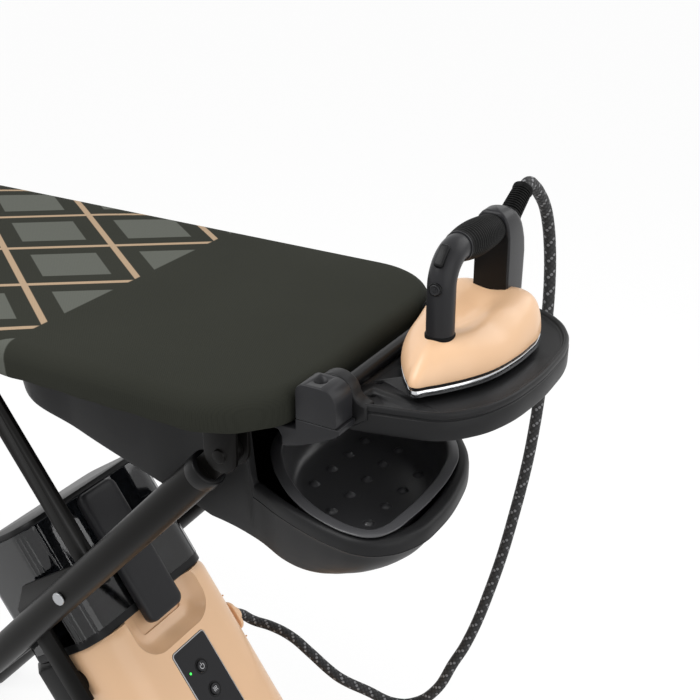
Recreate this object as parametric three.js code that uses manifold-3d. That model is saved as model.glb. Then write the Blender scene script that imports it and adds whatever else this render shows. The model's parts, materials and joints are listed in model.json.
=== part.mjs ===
// Vacuum ironing table with a steam iron, its folding rest and a wheeled steam generator.
// Millimetres, +Z up, +X towards the iron's end of the board, origin on the floor under the middle.
import * as THREE from "three";
import { mergeVertices } from "three/addons/utils/BufferGeometryUtils.js";
import Module from "manifold-3d";

const wasm = await Module();
wasm.setup();

// Clearances and helpers' sizes
const GAP = 0.3;
const OVERRUN = 2;
const WELD = 0.0001;

// Board
const BOARD_LENGTH = 1194;
const BOARD_HALF_WIDTH = 205;
const BOARD_CORNER = 96;
const BOARD_TOP_Z = 929.78;
const REST_LINE_X = 516.5;
const BOARD_SETBACK = 6;
const TAPER_START = 690;
const TAPER_BEND = 900;
const NOSE_START = 1115;
const NOSE_HALF_WIDTH = 100;
const NOSE_BEND = 60;
const COVER_DEPTH = 38;
const COVER_WALL = 3;
const COVER_TOP_ROUND = 14;
const COVER_LOW_ROUND = 5;
const PAD_THICK = 8;
const DECK_THICK = 1.5;
const DECK_HOLE_RADIUS = 9;
const DECK_HOLE_PITCH = 110;
const PAN_WALL = 1.2;
const PAN_FLOOR_DEPTH = 35;

// Iron rest and its hinge, from the board's end and top
const REST_AXIS_X = 17;
const REST_AXIS_DEPTH = 12;
const REST_PIN_RADIUS = 4.5;
const REST_TOP_DEPTH = 20;
const REST_THICK = 25;
const REST_RIM_HEIGHT = 5;
const REST_RIM_WIDTH = 7;
const REST_EAR_INSET = 110;
const REST_EAR_Y = BOARD_HALF_WIDTH - REST_EAR_INSET;
const REST_EAR_WIDTH = 18;
const REST_BACK_SHIFT = 15;
const REST_BLOCK_WIDTH = 31;
const REST_CAP_HALF = 22;
const REST_CAP_ROUND = 17;
const REST_PARTING_DEPTH = 28;
const REST_BASE_DROP = 30;
const REST_BASE_TIP = 9;
const REST_BASE_REACH = 12;
const REST_SOCKET_RADIUS = 7;
const REST_SOCKET_DEPTH = 12;
const REST_DRAIN_RADIUS = 4.5;
const REST_REACH_X = 167;
const REST_BULGE_INSET = 9;
const REST_BULGE_Y = BOARD_HALF_WIDTH - REST_BULGE_INSET;
const REST_BASE_LENGTH = 44;
const REST_BASE_PLATE = 4;
const SEAT_RIB_WIDTH = 5;
const SEAT_RIB_LENGTH = 96;
const SEAT_RIB_SPREAD = 44;

// Tray and vacuum housing under the board
const SHELL_TOP_GAP = 0.6;
const SHELL_WALL = 3;
const SHELL_ROUND = 5;
const SHELL_BOWL_SHARE = 0.36;
const SHELL_BOWL_START = -30;
const SHELL_BOWL_MIDDLE = -60;
const SHELL_RIM_DEPTH = 120;
const SHELL_STEP_X = -76;
const SHELL_STEP_RUN = 14;
const SHELL_LOW_DEPTH = 188;
const SHELL_SHALLOW_DEPTH = 104;
const SHELL_RISE_X = -130;
const SHELL_LEFT_X = -410;
const SHELL_INSET = 81;
const SHELL_HALF_WIDTH = BOARD_HALF_WIDTH - SHELL_INSET;
const SHELL_BULGE_X = 123;
const SHELL_BULGE_INSET = 34;
const SHELL_BULGE_Y = BOARD_HALF_WIDTH - SHELL_BULGE_INSET;
const TRAY_RIM_DEPTH = 116;
const TRAY_FLOOR_DEPTH = 160;
const TRAY_WALL = 2.5;
const TRAY_LIP = 11;
const TRAY_REACH_X = 105;
const TRAY_INSET = 3;
const TRAY_REACH_Y = SHELL_BULGE_Y - TRAY_INSET;
const BUMP_RADIUS = 5.5;
const BUMP_HEIGHT = 3;
const BUMP_PITCH_X = 43;
const BUMP_PITCH_Y = 36;
const BUMP_CENTRE_X = -2;
const BUMP_CENTRE_Y = -14;

// Fan
const FAN_X = -255;
const FAN_RADIUS = 66;
const FAN_HEIGHT = 26;
const FAN_DEPTH = 62;
const FAN_HUB_RADIUS = 16;
const FAN_BLADES = 9;
const FAN_BLADE_THICK = 3;
const FAN_SHAFT_RADIUS = 4;
const MOTOR_RADIUS = 34;
const MOTOR_HEIGHT = 28;
const DUCT_RADIUS = 50;
const DUCT_WALL = 3;
const GRILLE_RADIUS = 44;
const GRILLE_SLOT = 5;
const GRILLE_SLOTS = 3;

// Folding frame: leg A turns on the board, leg B turns on leg A and slides along the board
const PIVOT_X = -70;
const PIVOT_DEPTH = 70;
const LEG_INSET = 40;
const LEG_Y = BOARD_HALF_WIDTH - LEG_INSET;
const LEG_A_ANGLE = 47;
const LEG_A_ARM = 337.5;
const LEG_A_RADIUS = 19;
const LEG_A_WALL = 2;
const LEG_A_START = 34;
const LEG_A_LENGTH = 1151;
const TONGUE_THICK = 14;
const TONGUE_HALF = 14;
const BRACKET_PLATE = 5;
const BRACKET_HALF = 19;
const PIN_RADIUS = 6;
const PIN_HEAD_RADIUS = 8;
const PIN_HEAD_THICK = 3;
const BOLT_OFFSET = 1;
const FOOT_BAR_RADIUS = 14;
const FOOT_BAR_REACH = 35;
const FOOT_BAR_HALF = LEG_Y + FOOT_BAR_REACH;
const FOOT_BAR_WALL = 2;
const FOOT_CAP_RADIUS = 18;
const FOOT_CAP_LENGTH = 20;
const STAY_RADIUS = 11;
const STAY_BELOW = 880;
const LEG_B_ANGLE = 55.4;
const LEG_B_ARM = 300;
const CARRIER_THICK = 6;
const CARRIER_HALF = 17;
const CARRIER_END = 150;
const SLIDER_RADIUS = 7;
const ROLLER_RADIUS = 11;
const ROLLER_WIDTH = 13;
const RAIL_INNER_HALF = 17;
const RAIL_PLATE = 2.5;
const RAIL_DEPTH_Y = 21;
const RAIL_LEFT_X = -745;
const RAIL_RIGHT_X = -418;
const RACK_PITCH = 38;
const RACK_TOOTH = 10;
const LEVER_LENGTH = 118;
const LEVER_START = 62;
const LEVER_DROP = 20;
const LEVER_WIDTH = 26;
const LEVER_THICK = 7;
const LEVER_PIN_RADIUS = 2;

// Steam generator, in leg B's frame: along the housing from the crossing pivot, and above its line
const CASE_TOP = 90;
const CASE_END = 612;
const CASE_CLEARANCE = 47;
const CASE_HALF_WIDTH = LEG_Y - CASE_CLEARANCE;
const CASE_FACE = -81;
const CASE_BACK = -238;
const CASE_PARTING = -168;
const CASE_SHOULDER = 52;
const CASE_FOOT_ROUND = 24;
const CASE_WALL = 3;
const RECESS_HALF = 66;
const RECESS_END = 150;
const RECESS_DEPTH = 22;
const PANEL_HALF = 33;
const PANEL_START = 160;
const PANEL_LENGTH = 128;
const PANEL_THICK = 4;
const PANEL_PROUD = 0.8;
const BUTTON_RADIUS = 7.5;
const BUTTON_PROUD = 1.6;
const POWER_ALONG = 197;
const MODE_ALONG = 232;
const TANK_START = -75;
const TANK_FACE = -91;
const TANK_STEP = 2;
const TANK_HALF_WIDTH = CASE_HALF_WIDTH - TANK_STEP;
const TANK_BACK = -222;
const TANK_SHOULDER = 34;
const TANK_WALL = 2.5;
const TANK_NECK_RADIUS = 10;
const TANK_NECK_LENGTH = 16;
const LID_THICK = 7;
const SPINE_HALF = 32;
const SPINE_END = 114;
const SPINE_THICK = 13;
const SPINE_ROUND = 13;
const OUTLET_ALONG = 187;
const OUTLET_HEIGHT = -118;
const OUTLET_RADIUS = 13;
const OUTLET_LENGTH = 9;
const BOILER_RADIUS = 52;
const BOILER_LENGTH = 150;
const BOILER_ALONG = 400;
const BOILER_HEIGHT = -163;
const BOILER_WALL = 2.5;
const BOILER_BORE = 3;
const BOILER_VALVE_RADIUS = 8;
const BOILER_VALVE_LENGTH = 34;
const PUMP_RADIUS = 17;
const PUMP_LENGTH = 74;
const PUMP_ALONG = 215;
const PUMP_Y = -60;
const BOARD_CARD_LENGTH = 96;
const BOARD_CARD_WIDTH = 70;
const BOARD_CARD_THICK = 1.6;
const CARD_DROP = 18;
const INLET_RADIUS = 11;
const INLET_ALONG = 480;
const INLET_LENGTH = 12;
const AXLE_ALONG = 572;
const AXLE_HEIGHT = -144.9;
const AXLE_RADIUS = 5;
const WHEEL_RADIUS = 60;
const WHEEL_WIDTH = 24;
const WHEEL_CLEARANCE = 8;
const WHEEL_Y = CASE_HALF_WIDTH + WHEEL_WIDTH / 2 + WHEEL_CLEARANCE;
const TYRE_THICK = 9;
const WHEEL_WEB = 6;
const WHEEL_HUB_RADIUS = 14;
const WHEEL_BORE_GAP = 0.4;

// Iron, from the middle of its sole's nose-to-heel line on the rest
const IRON_X = 81;
const IRON_NOSE_Y = -76;
const IRON_HEEL_Y = 132;
const IRON_HALF_WIDTH = 58.5;
const IRON_LIFT_GAP = 0.4;
const SOLE_STAND = 5;
const SOLE_THICK = 8;
const GASKET_THICK = 2.4;
const GASKET_INSET = 2.5;
const SHELL_LIFT = 0.3;
const IRON_NOSE_HEIGHT = 34;
const IRON_HEEL_HEIGHT = 45;
const POST_Y = -20;
const POST_RADIUS = 14;
const POST_ROOT = 34;
const GRIP_AXIS_Z = 128;
const GRIP_BACK_DROP = 5;
const ELBOW_RADIUS = 30;
const BEND_SHARE = 1.06;
const GRIP_START_Y = 14;
const GRIP_END_Y = 92;
const GRIP_RADIUS = 16.5;
const GRIP_SWELL = 2.2;
const GRIP_CORE_RADIUS = 11;
const HEEL_FRONT_Y = 93;
const HEEL_BACK_Y = 146;
const HEEL_HALF = 19.5;
const HEEL_ROOT = 52;
const TRIGGER_LENGTH = 24;
const TRIGGER_WIDTH = 9;
const TRIGGER_THICK = 7;
const STEAM_KEY_RADIUS = 5.5;
const STEAM_KEY_PROUD = 2;
const STEAM_KEY_SINK = 4;
const STEAM_KEY_Z = 100;
const STRAIN_LENGTH = 41;
const STRAIN_ANGLE = 30;
const STRAIN_BIG_RADIUS = 12;
const STRAIN_SMALL_RADIUS = 8.8;

// Steam hose
const HOSE_RADIUS = 7;
const HOSE_SIDES = 8;
const HOSE_STEP = 30;
const HOSE_DROP = 634;

const degrees = (angle) => (angle * Math.PI) / 180;

// Colours and finishes
function finish(color, roughness, metalness) {
  return new THREE.MeshStandardMaterial({ color, roughness, metalness });
}
const cloth = finish(0x30302b, 0.95, 0);
const felt = finish(0x8c8a84, 1, 0);
const steel = finish(0x9a9c9e, 0.4, 0.9);
const darkPlastic = finish(0x2b2c2d, 0.55, 0);
const midPlastic = finish(0x3b3c3d, 0.5, 0);
const blackPaint = finish(0x1c1d1e, 0.4, 0.4);
const tan = finish(0xd9b58c, 0.45, 0.1);
const rubber = finish(0x161616, 0.85, 0);
const clear = finish(0xa9b0b4, 0.1, 0);
const chrome = finish(0xb9bcbf, 0.15, 1);
const board = finish(0x2c5a3c, 0.6, 0);

// Solids and geometries, to and fro
function solidOf(geometry) {
  const bare = geometry.clone();
  bare.deleteAttribute("normal");
  bare.deleteAttribute("uv");
  const merged = mergeVertices(bare, WELD);
  const vertProperties = new Float32Array(merged.getAttribute("position").array);
  const triVerts = new Uint32Array(merged.index.array);
  return new wasm.Manifold(new wasm.Mesh({ numProp: 3, vertProperties, triVerts }));
}

function geometryOf(solid) {
  const mesh = solid.getMesh();
  const geometry = new THREE.BufferGeometry();
  geometry.setAttribute("position", new THREE.BufferAttribute(new Float32Array(mesh.vertProperties), 3));
  geometry.setIndex(new THREE.BufferAttribute(new Uint32Array(mesh.triVerts), 1));
  geometry.computeVertexNormals();
  return geometry;
}

function join(first, ...others) {
  return geometryOf(others.reduce((sum, g) => sum.add(solidOf(g)), solidOf(first)));
}

function cut(first, ...others) {
  return geometryOf(others.reduce((rest, g) => rest.subtract(solidOf(g)), solidOf(first)));
}

const common = (first, second) => geometryOf(solidOf(first).intersect(solidOf(second)));

// A box between two corners
function block(x0, x1, y0, y1, z0, z1) {
  const box = new THREE.BoxGeometry(x1 - x0, y1 - y0, z1 - z0);
  return box.translate((x0 + x1) / 2, (y0 + y1) / 2, (z0 + z1) / 2);
}

// A cylinder or cone between two points
function rod(from, to, radius, endRadius = radius, sides = 16) {
  const a = new THREE.Vector3(...from);
  const b = new THREE.Vector3(...to);
  const along = b.clone().sub(a);
  const geometry = new THREE.CylinderGeometry(endRadius, radius, along.length(), sides);
  const up = new THREE.Vector3(0, 1, 0);
  geometry.applyQuaternion(new THREE.Quaternion().setFromUnitVectors(up, along.clone().normalize()));
  const middle = a.add(b).multiplyScalar(0.5);
  return geometry.translate(middle.x, middle.y, middle.z);
}

// An outline in X and Z, given depth along Y
function prism(points, y0, y1) {
  const shape = new THREE.Shape(points.map(([x, z]) => new THREE.Vector2(x, z)));
  const geometry = new THREE.ExtrudeGeometry(shape, { depth: y1 - y0, bevelEnabled: false });
  return geometry.rotateX(Math.PI / 2).translate(0, y1, 0);
}

// An outline in Y and Z, given depth along X
function sidePrism(points, x0, x1) {
  const shape = new THREE.Shape(points.map(([y, z]) => new THREE.Vector2(y, z)));
  const geometry = new THREE.ExtrudeGeometry(shape, { depth: x1 - x0, bevelEnabled: false });
  return geometry.rotateX(Math.PI / 2).rotateZ(Math.PI / 2).translate(x0, 0, 0);
}

// An outline in X and Y, given depth along Z
function slab(points, z0, z1) {
  const shape = new THREE.Shape(points.map((p) => new THREE.Vector2(p.x, p.y)));
  return new THREE.ExtrudeGeometry(shape, { depth: z1 - z0, bevelEnabled: false }).translate(0, 0, z0);
}

// A tube along a curve, with closed ends
function tube(curve, radius, steps, sides) {
  const ring = new THREE.Shape();
  ring.absarc(0, 0, radius, 0, Math.PI * 2);
  return new THREE.ExtrudeGeometry(ring, {
    steps,
    curveSegments: sides / 2,
    bevelEnabled: false,
    extrudePath: curve,
  });
}

// A closed body through rings of the same number of points, each end closed by a fan
function loft(rings) {
  const count = rings[0].length;
  const positions = [];
  const index = [];
  rings.forEach((ring) => ring.forEach((p) => positions.push(p.x, p.y, p.z)));
  for (let r = 0; r + 1 < rings.length; r++) {
    for (let i = 0; i < count; i++) {
      const a = r * count + i;
      const b = r * count + ((i + 1) % count);
      index.push(a, b, b + count, a, b + count, a + count);
    }
  }
  const fan = (ring, start, turned) => {
    const middle = new THREE.Vector3();
    ring.forEach((p) => middle.add(p));
    middle.multiplyScalar(1 / count);
    const centre = positions.length / 3;
    positions.push(middle.x, middle.y, middle.z);
    for (let i = 0; i < count; i++) {
      const a = start + i;
      const b = start + ((i + 1) % count);
      index.push(...(turned ? [centre, b, a] : [centre, a, b]));
    }
  };
  fan(rings[0], 0, true);
  fan(rings[rings.length - 1], (rings.length - 1) * count, false);
  const geometry = new THREE.BufferGeometry();
  geometry.setAttribute("position", new THREE.BufferAttribute(new Float32Array(positions), 3));
  geometry.setIndex(index);
  return facingOut(geometry);
}

// Turns every face round where the body came out inside out
function facingOut(geometry) {
  const p = geometry.getAttribute("position");
  const index = geometry.index.array;
  const [a, b, c] = [new THREE.Vector3(), new THREE.Vector3(), new THREE.Vector3()];
  let volume = 0;
  for (let i = 0; i < index.length; i += 3) {
    a.fromBufferAttribute(p, index[i]);
    b.fromBufferAttribute(p, index[i + 1]);
    c.fromBufferAttribute(p, index[i + 2]);
    volume += a.dot(b.cross(c));
  }
  if (volume < 0) {
    for (let i = 0; i < index.length; i += 3) [index[i + 1], index[i + 2]] = [index[i + 2], index[i + 1]];
  }
  geometry.computeVertexNormals();
  return geometry;
}

// Moves a closed outline inwards along its own normals
function inset(points, distance) {
  const area = THREE.ShapeUtils.area(points);
  const side = Math.sign(area) * distance;
  return points.map((p, i) => {
    const before = points[(i + points.length - 1) % points.length];
    const after = points[(i + 1) % points.length];
    const tangent = after.clone().sub(before).normalize();
    return new THREE.Vector2(p.x - tangent.y * side, p.y + tangent.x * side);
  });
}

// A smooth closed outline through hand-picked points
function smoothOutline(points, count) {
  const curve = new THREE.CatmullRomCurve3(
    points.map(([x, y]) => new THREE.Vector3(x, y, 0)),
    true,
    "centripetal",
  );
  return curve.getSpacedPoints(count).slice(0, count).map((p) => new THREE.Vector2(p.x, p.y));
}

const ringAt = (outline, z) => outline.map((p) => new THREE.Vector3(p.x, p.y, z));

// The scene graph: each frame of the object is a group
const table = new THREE.Group();
const boardFrame = new THREE.Group();
boardFrame.position.set(REST_LINE_X, 0, BOARD_TOP_Z);
table.add(boardFrame);

function add(frame, name, geometry, material) {
  const mesh = new THREE.Mesh(geometry, material);
  mesh.name = name;
  frame.add(mesh);
  return mesh;
}

// Board outline from the square end to the rounded nose
function boardOutline() {
  const shape = new THREE.Shape();
  const half = BOARD_HALF_WIDTH;
  shape.absarc(-BOARD_CORNER, half - BOARD_CORNER, BOARD_CORNER, 0, Math.PI / 2);
  shape.lineTo(-TAPER_START, half);
  shape.quadraticCurveTo(-TAPER_BEND, half, -NOSE_START, NOSE_HALF_WIDTH);
  const slope = (half - NOSE_HALF_WIDTH) / (NOSE_START - TAPER_BEND);
  const lean = (BOARD_LENGTH - NOSE_START) / 2;
  const drop = NOSE_HALF_WIDTH - lean * slope;
  shape.bezierCurveTo(-NOSE_START - lean, drop, -BOARD_LENGTH, NOSE_BEND, -BOARD_LENGTH, 0);
  shape.bezierCurveTo(-BOARD_LENGTH, -NOSE_BEND, -NOSE_START - lean, -drop, -NOSE_START, -NOSE_HALF_WIDTH);
  shape.quadraticCurveTo(-TAPER_BEND, -half, -TAPER_START, -half);
  shape.lineTo(-BOARD_CORNER, -half);
  shape.absarc(-BOARD_CORNER, BOARD_CORNER - half, BOARD_CORNER, -Math.PI / 2, 0);
  return shape.getPoints(6).map((p) => new THREE.Vector2(p.x - BOARD_SETBACK, p.y));
}

function buildBoard() {
  const outline = boardOutline();
  const skin = loft([
    ringAt(inset(outline, COVER_LOW_ROUND / 2), -COVER_DEPTH),
    ringAt(outline, COVER_LOW_ROUND - COVER_DEPTH),
    ringAt(outline, -COVER_TOP_ROUND),
    ringAt(inset(outline, COVER_TOP_ROUND * 0.3), -COVER_TOP_ROUND * 0.3),
    ringAt(inset(outline, COVER_TOP_ROUND), 0),
  ]);
  const inside = inset(outline, COVER_TOP_ROUND * 0.3 + COVER_WALL);
  const pocket = slab(inside, -COVER_DEPTH - OVERRUN, -COVER_WALL);
  add(boardFrame, "board_cover", cut(skin, pocket), cloth);

  const padOutline = inset(inside, GAP);
  const padTop = -COVER_WALL - GAP;
  const padBottom = padTop - PAD_THICK;
  add(boardFrame, "board_pad", slab(padOutline, padBottom, padTop), felt);

  const deckTop = padBottom - GAP;
  const deckBottom = deckTop - DECK_THICK;
  const holes = [];
  const columns = Math.floor(TAPER_BEND / DECK_HOLE_PITCH);
  for (let column = 1; column <= columns; column++) {
    for (let row = -1; row <= 1; row++) {
      const x = -column * DECK_HOLE_PITCH;
      const y = row * DECK_HOLE_PITCH;
      const low = [x, y, deckBottom - OVERRUN];
      holes.push(rod(low, [x, y, deckTop + OVERRUN], DECK_HOLE_RADIUS, DECK_HOLE_RADIUS, 6));
    }
  }
  add(boardFrame, "perforated_deck", cut(slab(padOutline, deckBottom, deckTop), ...holes), steel);

  const panOuter = slab(padOutline, -PAN_FLOOR_DEPTH, deckBottom - GAP);
  const panInner = slab(inset(padOutline, PAN_WALL), PAN_WALL - PAN_FLOOR_DEPTH, deckBottom);
  const ductHole = rod([FAN_X, 0, -PAN_FLOOR_DEPTH - OVERRUN], [FAN_X, 0, 0], DUCT_RADIUS, DUCT_RADIUS, 20);
  add(boardFrame, "board_pan", cut(panOuter, panInner, ductHole), blackPaint);
}
buildBoard();

// Outline of the vacuum housing: straight under the board, flared round the tray at its end
function shellOutline() {
  const flareShares = [
    [-0.537, -0.795],
    [-0.179, -0.895],
    [0.146, -0.965],
    [0.407, -1],
    [0.618, -1],
    [0.805, -0.936],
    [0.967, -0.749],
    [1, -0.567],
    [0.959, -0.222],
    [0.837, 0.082],
    [0.65, 0.304],
    [0.358, 0.503],
    [-0.049, 0.655],
    [-0.537, 0.713],
  ];
  const flare = flareShares.map(([along, across]) => [along * SHELL_BULGE_X, across * SHELL_BULGE_Y]);
  const half = SHELL_HALF_WIDTH;
  const left = [
    [SHELL_RISE_X, half],
    [SHELL_LEFT_X / 2, half],
    [SHELL_LEFT_X * 0.75, half],
    [SHELL_LEFT_X * 0.95, half * 0.95],
    [SHELL_LEFT_X, half * 0.7],
    [SHELL_LEFT_X, -half * 0.7],
    [SHELL_LEFT_X * 0.95, -half * 0.95],
    [SHELL_LEFT_X * 0.75, -half],
    [SHELL_LEFT_X / 2, -half],
    [SHELL_RISE_X, -half],
  ];
  return smoothOutline([...flare, ...left], 46);
}

// Heights of the housing's rim and floor, which change along the board
const shellRim = (x) => {
  const high = -PAN_FLOOR_DEPTH - SHELL_TOP_GAP;
  const share = THREE.MathUtils.smoothstep(x, SHELL_STEP_X, SHELL_STEP_X + SHELL_STEP_RUN);
  return high + (-SHELL_RIM_DEPTH - high) * share;
};
const shellFloor = (x) => {
  const share = THREE.MathUtils.clamp((x - SHELL_LEFT_X) / (SHELL_RISE_X - SHELL_LEFT_X), 0, 1);
  return -SHELL_SHALLOW_DEPTH - (SHELL_LOW_DEPTH - SHELL_SHALLOW_DEPTH) * share;
};

// Place and lean of the intake grille in the sloping floor
const grillePlace = new THREE.Matrix4()
  .makeRotationY(Math.atan2(SHELL_LOW_DEPTH - SHELL_SHALLOW_DEPTH, SHELL_RISE_X - SHELL_LEFT_X))
  .setPosition(FAN_X, 0, shellFloor(FAN_X) + SHELL_WALL / 2);

function placed(geometry, matrix) {
  return geometry.applyMatrix4(matrix);
}

function buildHousing() {
  const outline = shellOutline();
  const level = (points, share, low) =>
    points.map((p) => new THREE.Vector3(p.x, p.y, shellRim(p.x) + (low - shellRim(p.x)) * share));
  // The lower edge is crisp under the board and opens into a bowl at the tray's end
  const bowlMiddle = new THREE.Vector2(SHELL_BOWL_MIDDLE, SHELL_BOWL_MIDDLE);
  const drawn = (points, draw) =>
    inset(points, draw * SHELL_ROUND).map((p) => {
      const share = THREE.MathUtils.smoothstep(p.x, SHELL_BOWL_START, SHELL_BULGE_X);
      return p.lerp(bowlMiddle, draw * share * SHELL_BOWL_SHARE);
    });
  const rings = (points, low) => shares.map(([share, draw]) => level(drawn(points, draw), share, low));
  const shares = [
    [0, 0],
    [0.25, 0.06],
    [0.5, 0.2],
    [0.72, 0.42],
    [0.88, 0.68],
    [0.97, 0.88],
    [1, 1],
  ];
  // The floor rises towards the nose, to leave room for the folded generator
  const under = (lift) => {
    const right = SHELL_LOW_DEPTH;
    return prism(
      [
        [right, OVERRUN],
        [SHELL_LEFT_X - OVERRUN, OVERRUN],
        [SHELL_LEFT_X - OVERRUN, lift - SHELL_SHALLOW_DEPTH],
        [SHELL_RISE_X, lift - SHELL_LOW_DEPTH],
        [right, lift - SHELL_LOW_DEPTH],
      ],
      -BOARD_HALF_WIDTH,
      BOARD_HALF_WIDTH,
    );
  };
  const outer = common(loft(rings(outline, -SHELL_LOW_DEPTH)), under(0));
  const innerOutline = inset(outline, SHELL_WALL);
  const innerRings = rings(innerOutline, SHELL_WALL - SHELL_LOW_DEPTH);
  const inner = common(loft([ringAt(innerOutline, OVERRUN), ...innerRings]), under(SHELL_WALL));
  const slots = [];
  for (let i = -GRILLE_SLOTS; i <= GRILLE_SLOTS; i++) {
    const x = i * GRILLE_SLOT * 2;
    const reach = Math.sqrt(GRILLE_RADIUS ** 2 - x ** 2) - GRILLE_SLOT;
    const half = GRILLE_SLOT / 2;
    slots.push(placed(block(x - half, x + half, -reach, reach, -SHELL_WALL, SHELL_WALL), grillePlace));
  }
  add(boardFrame, "vacuum_housing", cut(outer, inner, ...slots), darkPlastic);
}
buildHousing();

// Outline of the tray bowl's rim, as seen past the board's end
function trayOutline() {
  const rimShares = [
    [-0.629, -0.577],
    [-0.295, -0.774],
    [0, -0.893],
    [0.39, -0.982],
    [0.638, -1],
    [0.829, -0.97],
    [0.933, -0.887],
    [0.99, -0.673],
    [1, -0.381],
    [0.952, -0.107],
    [0.857, 0.095],
    [0.543, 0.357],
    [0.152, 0.56],
    [-0.324, 0.655],
    [-0.724, 0.565],
    [-0.933, 0.298],
    [-0.971, -0.048],
    [-0.838, -0.381],
  ];
  const rim = rimShares.map(([along, across]) => [along * TRAY_REACH_X, across * TRAY_REACH_Y]);
  return smoothOutline(rim, 30);
}

function buildTray() {
  const rim = trayOutline();
  const top = -TRAY_RIM_DEPTH;
  const floor = -TRAY_FLOOR_DEPTH;
  const half = TRAY_LIP / 2;
  const bowl = loft([
    ringAt(inset(rim, TRAY_LIP * 3), floor),
    ringAt(inset(rim, TRAY_LIP * 2), floor + half),
    ringAt(inset(rim, TRAY_LIP), top - half),
    ringAt(inset(rim, TRAY_LIP - TRAY_WALL), top),
    ringAt(inset(rim, TRAY_WALL), top),
    ringAt(rim, top - TRAY_WALL),
    ringAt(inset(rim, TRAY_LIP - TRAY_WALL), top - half - TRAY_WALL),
    ringAt(inset(rim, TRAY_LIP * 2 - TRAY_WALL), floor),
    ringAt(inset(rim, TRAY_LIP * 3), floor - TRAY_WALL),
  ]);
  const bumps = [];
  const rows = [
    [-1, -1, 2],
    [0, -2, 2],
    [1, -2, 1],
  ];
  for (const [row, first, last] of rows) {
    for (let step = first; step <= last; step++) {
      const x = BUMP_CENTRE_X + row * BUMP_PITCH_X;
      const y = BUMP_CENTRE_Y + step * BUMP_PITCH_Y;
      const low = [x, y, floor - TRAY_WALL / 2];
      bumps.push(rod(low, [x, y, floor + BUMP_HEIGHT], BUMP_RADIUS, BUMP_RADIUS / 2, 8));
    }
  }
  // Two feet carry the bowl on the housing's floor
  const feet = [-1, 1].map((side) => {
    const y = BUMP_CENTRE_Y + side * BUMP_PITCH_Y;
    const low = -SHELL_LOW_DEPTH + SHELL_WALL + GAP;
    const x = BUMP_CENTRE_X - BUMP_PITCH_X / 2;
    return block(x, x + BUMP_PITCH_X, y, y + TRAY_LIP, low, floor - TRAY_WALL / 2);
  });
  add(boardFrame, "iron_tray", join(bowl, ...bumps, ...feet), midPlastic);
}
buildTray();

// Suction fan between the board's pan and the housing's grille
function buildFan() {
  const top = -PAN_FLOOR_DEPTH - GAP;
  const scrollTop = -FAN_DEPTH;
  const scrollRadius = FAN_RADIUS + DUCT_WALL * 2;
  const scrollBottom = scrollTop - FAN_HEIGHT - DUCT_WALL * 3;
  const collar = rod([FAN_X, 0, scrollTop], [FAN_X, 0, top], DUCT_RADIUS, DUCT_RADIUS, 20);
  const drum = rod([FAN_X, 0, scrollBottom], [FAN_X, 0, scrollTop], scrollRadius, scrollRadius, 24);
  const drumInside = rod(
    [FAN_X, 0, scrollBottom - OVERRUN],
    [FAN_X, 0, scrollTop - DUCT_WALL],
    scrollRadius - DUCT_WALL,
    scrollRadius - DUCT_WALL,
    24,
  );
  const bore = DUCT_RADIUS - DUCT_WALL;
  const collarInside = rod([FAN_X, 0, scrollTop - DUCT_WALL * 2], [FAN_X, 0, OVERRUN], bore, bore, 20);
  add(boardFrame, "fan_duct", cut(join(drum, collar), drumInside, collarInside), darkPlastic);

  const wheelTop = scrollTop - DUCT_WALL - OVERRUN;
  const wheelBottom = wheelTop - FAN_HEIGHT;
  const disc = rod(
    [FAN_X, 0, wheelBottom],
    [FAN_X, 0, wheelBottom + FAN_BLADE_THICK],
    FAN_RADIUS,
    FAN_RADIUS,
    24,
  );
  const hub = rod([FAN_X, 0, wheelBottom], [FAN_X, 0, wheelTop], FAN_HUB_RADIUS, FAN_HUB_RADIUS, 12);
  const blades = [];
  for (let i = 0; i < FAN_BLADES; i++) {
    const half = FAN_BLADE_THICK / 2;
    const blade = block(bore * 0.55, FAN_RADIUS - OVERRUN, -half, half, wheelBottom, wheelTop);
    blades.push(blade.rotateZ((i * Math.PI * 2) / FAN_BLADES).translate(FAN_X, 0, 0));
  }
  const shaftEnds = [wheelBottom - OVERRUN, wheelTop + OVERRUN].map((z) => [FAN_X, 0, z]);
  const shaftHole = rod(...shaftEnds, FAN_SHAFT_RADIUS + GAP);
  add(boardFrame, "fan_impeller", cut(join(disc, hub, ...blades), shaftHole), midPlastic);

  const motorTop = wheelBottom - OVERRUN;
  const can = rod([FAN_X, 0, motorTop - MOTOR_HEIGHT], [FAN_X, 0, motorTop], MOTOR_RADIUS, MOTOR_RADIUS, 20);
  const shaft = rod([FAN_X, 0, motorTop - OVERRUN], [FAN_X, 0, wheelTop], FAN_SHAFT_RADIUS);
  const armTop = scrollBottom - GAP;
  const armHalf = FAN_HUB_RADIUS / 2;
  const arm = (halfX, halfY) =>
    block(FAN_X - halfX, FAN_X + halfX, -halfY, halfY, armTop - DUCT_WALL, armTop);
  const armX = arm(scrollRadius, armHalf);
  const armY = arm(armHalf, scrollRadius);
  add(boardFrame, "fan_motor", join(can, shaft, armX, armY), steel);
}
buildFan();

// The rest's two hinges: the back one stands clear of the iron's heel
const earStart = (side) => side * (REST_EAR_Y + (side > 0 ? REST_BACK_SHIFT : 0));

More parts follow.
